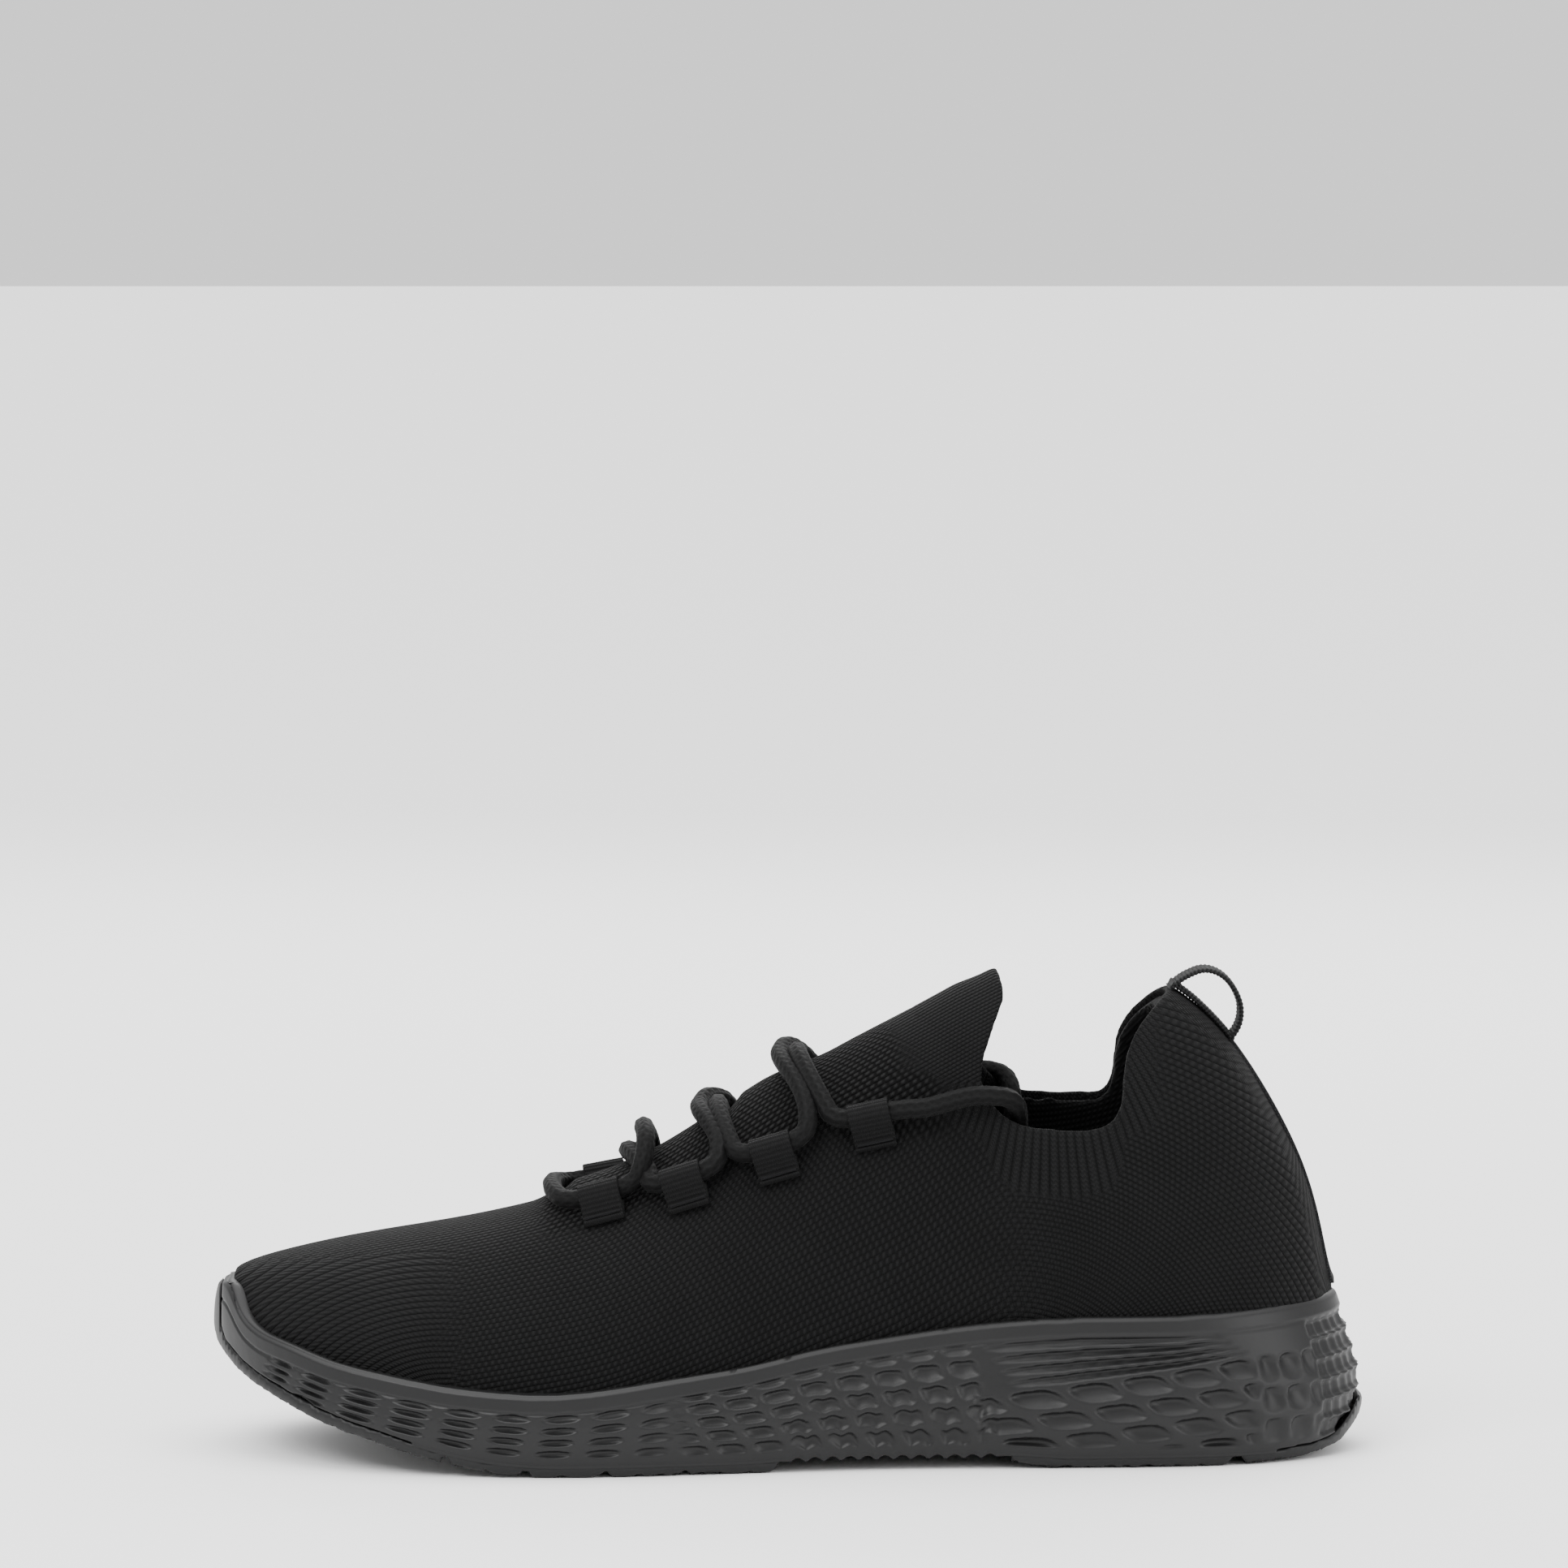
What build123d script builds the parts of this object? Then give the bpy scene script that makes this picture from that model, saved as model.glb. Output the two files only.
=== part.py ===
"""A knitted running shoe, left foot: sole, upper, lacing and heel pull tab.

Millimetres. X runs from the toe (-) to the heel (+), Y from the outer side (-) to the
inner side (+), Z up. The origin is on the ground, below the middle of the shoe.
"""
from build123d import *
from functools import lru_cache
import math
import os

os.makedirs("parts", exist_ok=True)

# ---------------------------------------------------------------- driving dimensions
LENGTH = 296.0            # outside length of the sole
HALF = LENGTH / 2
KNIT = 2.0                # thickness of the knitted upper
RUBBER = 3.2              # thickness of the outsole
BOARD = 1.5               # strobel board under the foot
FOAM = 3.6                # sockliner foam
CLOTH = 0.7               # cloth glued on the sockliner foam
COUNTER = 1.2             # stiff cup around the heel
PUFF = 0.6                # stiffener over the toes
PAD = 4.0                 # collar foam
LINING = 0.8              # cloth over the collar foam
TAPE = 0.7                # bonded tape that the lace loops are sewn through
WEB = 1.3                 # pull tab webbing, thickness
WEB_WIDTH = 12.0          # pull tab webbing, width
SEAM_TAPE = 0.7           # tape over the back seam, thickness
SEAM_TAPE_WIDTH = 8.0
LACE = 5.0                # round lace, diameter
LOOP_WIDTH = 10.5         # grosgrain lace loop
LOOP_TAPE = 0.9           # its tape, thickness
GAP = 0.6                 # slit between the knit and the free end of the tongue
WIDE = 80.0               # more than half the shoe's width

# ---------------------------------------------------------------- the shape of the upper
# One row per section across the shoe: x, footbed height, ridge height, outer half
# (lateral) y, inner half (medial) y, ridge y, squareness of the section.
SECTIONS = [
    (-142.5, 35.0, 44.3, -1.0, 16.5, 7.8, 2.3),
    (-139.0, 32.5, 46.2, -9.5, 24.5, 8.0, 2.3),
    (-130.0, 28.0, 48.9, -20.5, 33.0, 8.0, 2.3),
    (-115.0, 21.5, 52.3, -32.5, 41.5, 7.0, 2.3),
    (-95.0, 16.0, 55.9, -42.0, 47.0, 6.0, 2.2),
    (-70.0, 13.0, 61.0, -46.5, 46.5, 5.0, 2.05),
    (-45.0, 13.0, 68.5, -47.0, 41.0, 4.0, 1.95),
    (-20.0, 15.0, 82.3, -44.0, 34.0, 3.0, 1.9),
    (5.0, 18.5, 98.3, -39.5, 29.0, 1.5, 1.9),
    (30.0, 22.0, 112.0, -35.5, 28.0, 0.0, 2.0),
    (50.0, 24.0, 122.5, -34.0, 29.5, 0.0, 2.1),
    (70.0, 25.5, 129.0, -34.0, 31.5, 0.0, 2.3),
    (90.0, 26.0, 123.0, -33.5, 32.0, 0.0, 2.4),
    (105.0, 26.0, 113.6, -32.0, 31.5, 0.0, 2.4),
    (118.0, 26.0, 98.3, -28.5, 28.0, 0.0, 2.4),
    (128.0, 26.3, 81.0, -22.5, 23.0, 0.0, 2.4),
    (135.0, 27.0, 62.5, -15.5, 16.5, 0.0, 2.3),
    (139.8, 29.0, 43.5, -6.0, 7.0, 0.0, 2.2),
]
TURN_STEP = 15            # degrees between the points of one section
SINK = 3.0                # the sections start this far below the footbed
DEEP = 3.0                # an inset over this leaves out the small end sections
SKY = 150.0               # above everything


def slope(column, index):
    """Slope of a column of SECTIONS along x, at one section."""
    low = max(index - 1, 0)
    high = min(index + 1, len(SECTIONS) - 1)
    rise = SECTIONS[high][column] - SECTIONS[low][column]
    return rise / (SECTIONS[high][0] - SECTIONS[low][0])


def inset_section(index, inset):
    """One section, moved in along the ridge's normal."""
    x, base, top, lateral, medial, ridge, power = SECTIONS[index]
    steep = slope(2, index)
    length = math.hypot(steep, 1)
    x += inset * steep / length
    top -= inset / length
    base -= SINK
    points = []
    for turn in range(-90, 91, TURN_STEP):
        side = medial - inset if turn > 0 else lateral + inset
        across = abs(math.sin(math.radians(turn))) ** (2 / power)
        upward = max(math.cos(math.radians(turn)), 0) ** (2 / power)
        points.append((ridge + (side - ridge) * across, base + (top - base) * upward))
    return x, points


@lru_cache
def last(inset=0.0):
    """The solid inside the upper, shrunk by inset, from just below the footbed."""
    ends = 1 if inset > DEEP else 0
    with BuildPart() as block:
        for index in range(ends, len(SECTIONS) - ends):
            x, points = inset_section(index, inset)
            with BuildSketch(Plane.YZ.offset(x)):
                with BuildLine():
                    Spline(*points)
                    Line(points[-1], points[0])
                make_face()
        loft()
    return block.part


def skin(x, turn):
    """A point of the upper's surface: turn is -90 at the outer base, 0 on the ridge."""
    index = max(i for i in range(len(SECTIONS) - 1) if SECTIONS[i][0] <= x)
    start, end = SECTIONS[index][0], SECTIONS[index + 1][0]
    width = end - start
    part = (x - start) / width

    def value(column):
        first, second = SECTIONS[index][column], SECTIONS[index + 1][column]
        lean, tilt = slope(column, index) * width, slope(column, index + 1) * width
        cubic = 2 * part**3 - 3 * part**2
        return (
            (cubic + 1) * first
            + (part**3 - 2 * part**2 + part) * lean
            - cubic * second
            + (part**3 - part**2) * tilt
        )

    side = value(4) if turn > 0 else value(3)
    across = abs(math.sin(math.radians(turn))) ** (2 / value(6))
    upward = math.cos(math.radians(turn)) ** (2 / value(6))
    return Vector(x, value(5) + (side - value(5)) * across, value(1) + (value(2) - value(1)) * upward)


def surface_plane(x, turn):
    """Plane across the lace at a loop: its x runs up the upper, its y away from it."""
    step = 1.0
    along = skin(x + step, turn) - skin(x - step, turn)
    higher = -step if turn > 0 else step
    up = (skin(x, turn + higher) - skin(x, turn - higher)).normalized()
    out = up.cross(along) if turn > 0 else along.cross(up)
    out = out.normalized()
    if out.Z < 0:
        out = -out
    return Plane(origin=skin(x, turn), x_dir=up, z_dir=up.cross(out))


def side_region(points, low=-WIDE, high=WIDE):
    """A closed side-view outline, pushed across the shoe from y = low to y = high."""
    with BuildPart() as region:
        with BuildSketch(Plane.XZ.offset(-low)):
            with BuildLine():
                Polyline(*points, close=True)
            make_face()
        extrude(amount=low - high)
    return region.part


def footbed(height):
    """Side-view points of the footbed, raised by height."""
    return [(section[0], section[1] + height) for section in SECTIONS]


@lru_cache
def above_footbed(height):
    """Everything higher than the footbed raised by height."""
    line = footbed(height)
    with BuildPart() as block:
        with BuildSketch(Plane.XZ.offset(WIDE)):
            with BuildLine():
                Spline(*line)
                Polyline(line[-1], (line[-1][0], SKY), (line[0][0], SKY), line[0])
            make_face()
        extrude(amount=-2 * WIDE)
    return block.part


def layer(outer, inner, region, cut=None, floor=BOARD):
    """The wall between two insets of the last, kept inside a side-view region."""
    with BuildPart() as wall:
        add(last(outer))
        add(last(inner), mode=Mode.SUBTRACT)
        add(region, mode=Mode.INTERSECT)
        add(above_footbed(floor), mode=Mode.INTERSECT)
        if cut is not None:
            add(cut, mode=Mode.SUBTRACT)
    return wall.part


def save(piece, label):
    piece.label = label
    export_step(piece, "parts/" + label + ".step")


# ---------------------------------------------------------------- side-view outlines
TOPLINE = [
    (53.4, 119.7), (51.8, 108.0), (49.2, 99.0), (52.0, 90.8), (58.0, 86.4), (68.0, 84.9),
    (76.0, 84.9), (81.5, 86.8), (84.2, 91.5), (85.0, 99.0), (86.4, 105.5), (89.6, 110.8),
    (93.6, 115.0), (97.6, 118.4),
]


def mouth(lower=0.0):
    """The space above the collar, between the tongue and the heel tip."""
    with BuildPart() as block:
        with BuildSketch(Plane.XZ.offset(WIDE)):
            with BuildLine():
                line = [(x, z - lower) for x, z in TOPLINE]
                Spline((51.0, 130.0), *line)
                Polyline(line[-1], (98.0, SKY), (51.0, SKY), (51.0, 130.0))
            make_face()
        extrude(amount=-2 * WIDE)
    return block.part


FOLD_TOP = (31.0, 112.6)  # where the tongue bends, on the ridge
FOLD_END = (48.6, 96.6)   # and at the collar's front corner


def fold_line(shift):
    """The fold of the tongue, moved along its normal and made longer at both ends."""
    run = Vector(FOLD_END[0] - FOLD_TOP[0], FOLD_END[1] - FOLD_TOP[1]).normalized()
    across = Vector(-run.Y, run.X) * shift
    start = Vector(*FOLD_TOP) - run * 20 + across
    end = Vector(*FOLD_END) + run * 6 + across
    return (start.X, start.Y), (end.X, end.Y)


def tongue_region(shift):
    start, end = fold_line(shift)
    return side_region([start, end, (56.5, 96.0), (56.5, SKY), (start[0], SKY)])


# ---------------------------------------------------------------- upper
whole = side_region([(-HALF, 0), (HALF, 0), (HALF, SKY), (-HALF, SKY)])
with BuildPart() as knit_upper:
    add(layer(0, KNIT, whole, mouth(), floor=0))
    add(tongue_region(0), mode=Mode.SUBTRACT)
save(knit_upper.part, "knit_upper")

with BuildPart() as tongue:
    add(layer(0, KNIT, tongue_region(GAP), mouth()))
save(tongue.part, "tongue")

COUNTER_REGION = side_region([(92, 26), (HALF, 26), (HALF, 74), (112, 74), (100, 62)])
with BuildPart() as heel_counter:
    add(layer(KNIT, KNIT + COUNTER, COUNTER_REGION))
save(heel_counter.part, "heel_counter")

PAD_REGION = side_region([(64, 36), (HALF, 36), (HALF, SKY), (54.5, SKY), (54.5, 84)])
with BuildPart() as collar_foam:
    add(layer(KNIT, KNIT + PAD, PAD_REGION, mouth(2.0)))
    add(layer(KNIT, KNIT + COUNTER, COUNTER_REGION), mode=Mode.SUBTRACT)
save(collar_foam.part, "collar_foam")

with BuildPart() as collar_lining:
    add(layer(KNIT + PAD, KNIT + PAD + LINING, PAD_REGION, mouth(0.8)))
save(collar_lining.part, "collar_lining")

PUFF_REGION = side_region([(-HALF, 20), (-118, 24), (-122, SKY), (-HALF, SKY)])
with BuildPart() as toe_puff:
    add(layer(KNIT, KNIT + PUFF, PUFF_REGION))
save(toe_puff.part, "toe_puff")


# ---------------------------------------------------------------- inside the foot space
def floor_layer(low, high, inset=KNIT):
    """A sheet over the footbed, as wide as the inside of the knit."""
    with BuildPart() as sheet:
        add(last(inset))
        add(above_footbed(low), mode=Mode.INTERSECT)
        add(above_footbed(high), mode=Mode.SUBTRACT)
    return sheet.part


save(floor_layer(0, BOARD), "strobel_board")
save(floor_layer(BOARD, BOARD + FOAM, KNIT + COUNTER), "sockliner_foam")
save(floor_layer(BOARD + FOAM, BOARD + FOAM + CLOTH, KNIT + COUNTER), "sockliner_cloth")

# ---------------------------------------------------------------- sole
# Ground plan at the widest level, lateral side from toe to heel, then the medial side back.
PLAN = [
    (-148, 8), (-143, -8), (-130, -27), (-110, -42), (-85, -50.5), (-60, -53), (-30, -50),
    (0, -45), (30, -41), (60, -40), (90, -39), (120, -34), (140, -21), (148, 0),
    (140, 21), (120, 34), (90, 38), (60, 36), (30, 33.5), (0, 35), (-30, 42), (-60, 50),
    (-85, 53), (-110, 49), (-130, 38), (-143, 24),
]
NOSE = 8.0                # points of the plan nearer the middle line aren't drawn in
# height, how far the sides are drawn in, heel x, toe x
LEVELS = [
    (-1.0, 3.2, 144.5, -146.0),
    (6.0, 1.0, 147.3, -147.4),
    (13.0, 0.0, 148.0, -148.0),
    (22.0, 0.8, 147.0, -148.0),
    (30.0, 2.0, 144.6, -148.0),
    (38.0, 3.2, 141.7, -147.4),
    (46.0, 4.2, 138.8, -144.0),
]


def sole_block():
    with BuildPart() as block:
        for height, draw, heel, toe in LEVELS:
            outline = []
            for x, y in PLAN:
                reach = x * (heel if x > 0 else -toe) / HALF
                side = math.copysign(abs(y) - draw, y) if abs(y) > NOSE else y
                outline.append((reach, side))
            with BuildSketch(Plane.XY.offset(height)):
                with BuildLine():
                    Spline(*outline, periodic=True)
                make_face()
        loft()
    return block.part


RIM = [
    (-149, 41.6), (-144.0, 42.4), (-141.0, 37.5), (-136.0, 32.5), (-128.0, 30.2),
    (-116.0, 27.0), (-104.0, 25.0), (-88.0, 22.6), (-72.0, 21.1), (-55.0, 20.9),
    (-43.0, 22.1), (-27.0, 24.4), (-10.0, 26.8), (6.0, 30.3), (22.0, 32.8), (39.0, 35.2),
    (55.0, 36.9), (71.0, 37.7), (88.0, 37.9), (104.0, 38.1), (120.0, 38.9), (130.0, 39.6),
    (149, 40.5),
]
# Underside of the outsole, toe to waist, and of the heel pad.
TOE_SPRING = [
    (-148.2, 30.0), (-146.5, 26.2), (-141.0, 21.7), (-136.0, 19.0), (-128.0, 15.8),
    (-120.0, 12.6), (-112.0, 10.0), (-104.0, 7.9), (-96.0, 5.5), (-88.0, 3.5),
    (-76.0, 1.1), (-64.0, 0.0),
]
WAIST = (0.0, 53.0)       # where the midsole itself faces the ground
RIPPLES = 12
RIPPLE = 1.3
WAIST_HEIGHT = 3.4
HEEL_FRONT = (56.0, 66.0) # the heel pad slopes up to the waist here
HEEL_STEP = 1.6           # by this much
HEEL_BEVEL = [(122.0, 0.0), (134.0, 1.0), (141.0, 3.0), (146.0, 8.0), (149.0, 12.0)]


def raised(points, height):
    """Points moved up and, where the line is steep, inwards by the same amount."""
    moved = []
    for index, (x, z) in enumerate(points):
        before = points[max(index - 1, 0)]
        after = points[min(index + 1, len(points) - 1)]
        run, rise = after[0] - before[0], after[1] - before[1]
        size = math.hypot(run, rise)
        moved.append((x - height * rise / size, z + height * run / size))
    return moved


def ripple_line():
    """Saw teeth across the waist."""
    pitch = (WAIST[1] - WAIST[0]) / RIPPLES
    teeth = []
    for count in range(RIPPLES):
        start = WAIST[0] + count * pitch
        teeth.append((start, WAIST_HEIGHT + RIPPLE))
        teeth.append((start + pitch * 0.6, WAIST_HEIGHT))
    teeth.append((WAIST[1], WAIST_HEIGHT + RIPPLE))
    return teeth


forefoot_top = raised(TOE_SPRING, RUBBER)
heel_top = raised(HEEL_BEVEL, RUBBER)
midsole_under = (
    [(forefoot_top[0][0], RIM[0][1])]
    + forefoot_top
    + [(WAIST[0] - 2, RUBBER)]
    + ripple_line()
    + [(HEEL_FRONT[0], RUBBER + HEEL_STEP), (HEEL_FRONT[1], RUBBER)]
    + heel_top
)

with BuildPart() as foot_space:
    add(last())
    add(above_footbed(0), mode=Mode.INTERSECT)

with BuildPart() as midsole:
    add(sole_block())
    with BuildSketch(Plane.XZ.offset(WIDE)):
        with BuildLine():
            rim = [point for point in RIM if point[0] > midsole_under[0][0]]
            Spline(midsole_under[0], *rim)
            Line(rim[-1], midsole_under[-1])
            Polyline(*midsole_under)
        make_face()
    extrude(amount=-2 * WIDE, mode=Mode.INTERSECT)
    add(foot_space.part, mode=Mode.SUBTRACT)
save(midsole.part, "midsole")

FLEX_GROOVES = (-108.0, -86.0, -66.0, -46.0, -26.0)
FLEX_CUT = (2.4, 2.6)     # width and height of one groove's cutter
FLEX_RISE = 0.178         # slope of the toe spring, which the cutters follow
with BuildPart() as outsole_forefoot:
    add(sole_block())
    outline = TOE_SPRING + [(WAIST[0] - 4, 0.0), (WAIST[0] - 2, RUBBER)]
    outline += list(reversed(forefoot_top)) + [(forefoot_top[0][0], 41.4), (-149.5, 41.4), (-149.5, 30)]
    add(side_region(outline), mode=Mode.INTERSECT)
    for x in FLEX_GROOVES:
        drop = max(0.0, (TOE_SPRING[-1][0] - x) * FLEX_RISE)
        with BuildSketch(Plane.XZ.offset(WIDE)):
            with Locations((x, drop)):
                Rectangle(*FLEX_CUT)
        extrude(amount=-2 * WIDE, mode=Mode.SUBTRACT)
save(outsole_forefoot.part, "outsole_forefoot")

CHANNEL = (50.0, 102.0)   # the open channel between the arms of the heel pad
CHANNEL_WIDTH = 16.0
HEEL_NOTCH = (111.0, 116.0)
NOTCH_DEPTH = 2.0
with BuildPart() as outsole_heel:
    add(sole_block())
    outline = [(HEEL_FRONT[0], HEEL_STEP), (HEEL_FRONT[1], 0.0)] + HEEL_BEVEL
    outline += list(reversed(heel_top)) + [(HEEL_FRONT[1], RUBBER), (HEEL_FRONT[0], RUBBER + HEEL_STEP)]
    add(side_region(outline), mode=Mode.INTERSECT)
    with BuildSketch(Plane.XY.offset(-1)):
        with Locations((sum(CHANNEL) / 2, -1)):
            SlotOverall(CHANNEL[1] - CHANNEL[0], CHANNEL_WIDTH)
    extrude(amount=RUBBER + 4, mode=Mode.SUBTRACT)
    notch = [
        (HEEL_NOTCH[0], -1),
        (HEEL_NOTCH[1], -1),
        (HEEL_NOTCH[1] - 1, NOTCH_DEPTH),
        (HEEL_NOTCH[0] + 1, NOTCH_DEPTH),
    ]
    add(side_region(notch), mode=Mode.SUBTRACT)
save(outsole_heel.part, "outsole_heel")

# ---------------------------------------------------------------- lace loops
# Each loop sits on the upper at x and turn, and leans back from the ridge's direction.
LOOPS = [(-46.3, 25.0, 0.0), (-25.3, 33.5, 7.0), (-2.8, 38.5, 11.0), (21.5, 42.0, 10.0)]
EYE = 2.8                 # radius of the space for the lace in a loop
EYE_UP = 1.9              # its centre, up the upper and out from it
EYE_OUT = EYE + LOOP_TAPE + 0.2
SEAM = (-5.6, -3.8)       # the sewn foot of the loop, up the upper
SEAM_OUT = (0.5, 2.0)     # and its two layers, out from it
SEAM_LEAN = 120           # where the front of the loop meets its round crown, degrees


def loop_plane(x, turn, lean):
    """The plane across a loop, leaned about the direction away from the upper."""
    flat = surface_plane(x, turn)
    tilt = math.radians(-lean if flat.z_dir.X > 0 else lean)
    up = flat.x_dir * math.cos(tilt) + flat.z_dir * math.sin(tilt)
    return Plane(origin=flat.origin, x_dir=up, z_dir=up.cross(flat.y_dir))


def lace_loop(plane):
    with BuildPart() as loop:
        with BuildSketch(plane):
            with BuildLine():
                crown = Vector(EYE_UP, EYE_OUT)
                outer = EYE + LOOP_TAPE
                CenterArc(crown, outer, -90, 90 + SEAM_LEAN)
                Polyline(
                    (EYE_UP, EYE_OUT - outer),
                    (SEAM[0], SEAM_OUT[0]),
                    (SEAM[0], SEAM_OUT[1]),
                    (SEAM[1], SEAM_OUT[1]),
                    crown + Vector(outer, 0).rotate(Axis.Z, SEAM_LEAN),
                )
            make_face()
            with Locations(crown):
                Circle(EYE, mode=Mode.SUBTRACT)
        extrude(amount=LOOP_WIDTH / 2, both=True)
    return loop.part


for side, name in ((-1, "lateral"), (1, "medial")):
    for number, (x, turn, lean) in enumerate(LOOPS, start=1):
        piece = lace_loop(loop_plane(x, side * turn, lean))
        save(piece, f"lace_loop_{name}_{number}")


# ---------------------------------------------------------------- tapes inside the throat
TAPE_SIDE = [(-56, 48), (-56, 62), (-34, 68), (-12, 78), (12, 92), (34, 97), (34, 78), (4, 66), (-26, 55)]
for low, high, name in ((-WIDE, -3, "lateral"), (9, WIDE, "medial")):
    piece = layer(KNIT, KNIT + TAPE, side_region(TAPE_SIDE, low, high))
    save(piece, f"eyestay_tape_{name}")

# ---------------------------------------------------------------- back seam and pull tab
SEAM_TOP = (99.5, 117.0)
WEB_END = (113.0, 104.6)  # where the sewn webbing stops on the heel
SEAM_END = (141.0, 42.0)
with BuildPart() as heel_seam_tape:
    strip = [(WEB_END[0] + 0.3, 90), (WEB_END[0] + 0.3, SKY), (HALF, SKY), (HALF, SEAM_END[1]), (130, SEAM_END[1])]
    add(last(-SEAM_TAPE))
    add(last(), mode=Mode.SUBTRACT)
    add(side_region(strip, -SEAM_TAPE_WIDTH / 2, SEAM_TAPE_WIDTH / 2), mode=Mode.INTERSECT)
save(heel_seam_tape.part, "heel_seam_tape")

with BuildPart() as heel_webbing:
    strip = [(SEAM_TOP[0], 100), (SEAM_TOP[0], SKY), (WEB_END[0], SKY), (WEB_END[0], 90)]
    add(last(-WEB))
    add(last(), mode=Mode.SUBTRACT)
    add(side_region(strip, -WEB_WIDTH / 2, WEB_WIDTH / 2), mode=Mode.INTERSECT)
save(heel_webbing.part, "heel_webbing")

TAB = [(101.9, 120.9), (107.0, 123.1), (112.4, 120.9), (115.9, 115.0), (116.2, 109.9)]
with BuildPart() as pull_tab:
    with BuildSketch(Plane.XZ.offset(-WEB_WIDTH / 2)):
        with BuildLine():
            Spline(*TAB)
        trace(line_width=WEB)
    extrude(amount=WEB_WIDTH)
save(pull_tab.part, "pull_tab")

# ---------------------------------------------------------------- thread
THREAD = 0.35             # radius of a bar of stitches
THREAD_INSET = 0.6        # the bar stops short of the tape's edges
with BuildPart() as loop_stitches:
    for side in (-1, 1):
        for x, turn, lean in LOOPS:
            plane = loop_plane(x, side * turn, lean)
            lift = plane.origin + plane.x_dir * (sum(SEAM) / 2) + plane.y_dir * (SEAM_OUT[1] + THREAD)
            bar = Plane(origin=lift, x_dir=plane.x_dir, z_dir=plane.z_dir)
            with BuildSketch(bar):
                Circle(THREAD)
            extrude(amount=LOOP_WIDTH / 2 - THREAD_INSET, both=True)
save(loop_stitches.part, "loop_stitches")

# ---------------------------------------------------------------- lace
# The route of the one lace, from the end tucked in on the outer side, through every loop,
# to the end tucked in on the inner side.
LACE_ROUTE = [
    (56.0, -13.0, 62.0), (57.0, -14.5, 71.0), (58.2, -16.5, 80.0), (58.7, -20.5, 87.5),
    (57.3, -26.0, 92.3), (52.5, -29.0, 93.6), (46.5, -28.6, 93.6), (40.5, -28.5, 92.0),
    (34.5, -28.3, 90.2), (28.8, -27.4, 90.1), (12.1, -26.3, 86.2), (8.5, -21.5, 92.0),
    (5.0, -14.0, 97.8), (2.7, -4.5, 101.6), (2.5, 5.0, 101.4), (4.0, 13.5, 96.6),
    (7.0, 20.0, 89.0), (5.1, 21.9, 81.3), (-12.3, 21.7, 77.3), (-14.8, 20.4, 86.3),
    (-20.3, 12.8, 89.0), (-22.8, 4.5, 87.0), (-22.0, -4.0, 86.4), (-19.0, -13.0, 84.0),
    (-17.0, -20.5, 80.2), (-18.3, -24.7, 74.7), (-35.1, -22.5, 69.1), (-35.3, -15.5, 72.8),
    (-38.6, -7.0, 75.2), (-41.0, 2.0, 76.0), (-40.8, 11.0, 74.6), (-37.8, 17.8, 73.0),
    (-38.4, 21.2, 68.4), (-55.8, 19.0, 65.4), (-59.8, 12.5, 66.5), (-60.6, 3.0, 67.2),
    (-59.8, -7.5, 66.4), (-56.0, -15.9, 64.6), (-39.0, -18.3, 69.2), (-36.6, -16.8, 75.8),
    (-36.0, -10.5, 81.6), (-37.0, 0.0, 82.6), (-36.6, 9.5, 80.6), (-35.0, 17.5, 76.2),
    (-34.9, 22.0, 70.0), (-17.4, 22.8, 73.4), (-15.8, 18.6, 80.2), (-17.3, 10.5, 85.6),
    (-17.8, 1.0, 88.6), (-17.6, -9.0, 86.8), (-15.5, -18.5, 82.3), (-12.6, -25.3, 77.1),
    (4.4, -26.7, 82.3), (5.4, -23.5, 88.7), (3.2, -16.5, 94.8), (-0.5, -7.0, 98.8),
    (-2.3, 3.0, 100.6), (-0.2, 12.0, 102.4), (5.0, 18.0, 98.6), (9.5, 22.3, 92.0),
    (12.0, 21.0, 86.0), (29.2, 22.4, 89.8), (35.5, 24.0, 90.5), (41.5, 24.6, 92.2),
    (47.5, 25.0, 93.8), (53.0, 25.2, 94.0), (57.3, 22.3, 92.6), (58.7, 17.0, 87.8),
    (58.2, 13.3, 80.0), (57.0, 11.5, 71.0), (56.0, 10.0, 62.0),
]
LACE_SHARE = 0.45         # of the shorter run, used by each corner's arc
TIP = 22.0                # lace tip, length
TIP_RADIUS = 1.9
TIP_EDGE = 0.6


def corner_radii(route):
    """The arc at each corner of a route, as large as its two runs allow."""
    radii = []
    for before, corner, after in zip(route, route[1:], route[2:]):
        first, second = Vector(corner) - Vector(before), Vector(after) - Vector(corner)
        half_turn = math.radians(first.get_angle(second) / 2)
        shorter = min(first.length, second.length)
        radii.append(LACE_SHARE * shorter / math.tan(half_turn))
    return radii


lace_radii = corner_radii(LACE_ROUTE)
with BuildPart() as lace:
    with BuildLine() as lace_path:
        FilletPolyline(*LACE_ROUTE, radius=lace_radii)
    path = lace_path.wires()[0]
    with BuildSketch(Plane(origin=path @ 0, z_dir=path % 0)):
        Circle(LACE / 2)
    sweep(path=path)
save(lace.part, "lace")
expected = math.pi * (LACE / 2) ** 2 * path.length
print(f"lace: {path.length:.0f} mm, volume {lace.part.volume:.0f} of {expected:.0f}")
print("lace radii:", " ".join(f"{radius:.1f}" for radius in lace_radii))

for number, (end, before) in enumerate(
    ((LACE_ROUTE[0], LACE_ROUTE[1]), (LACE_ROUTE[-1], LACE_ROUTE[-2])), start=1
):
    with BuildPart() as lace_tip:
        with BuildSketch(Plane(origin=end, z_dir=Vector(end) - Vector(before))):
            Circle(TIP_RADIUS)
        extrude(amount=TIP)
        fillet(lace_tip.faces().sort_by(Axis.Z)[0].edges(), TIP_EDGE)
    save(lace_tip.part, f"lace_tip_{number}")
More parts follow.
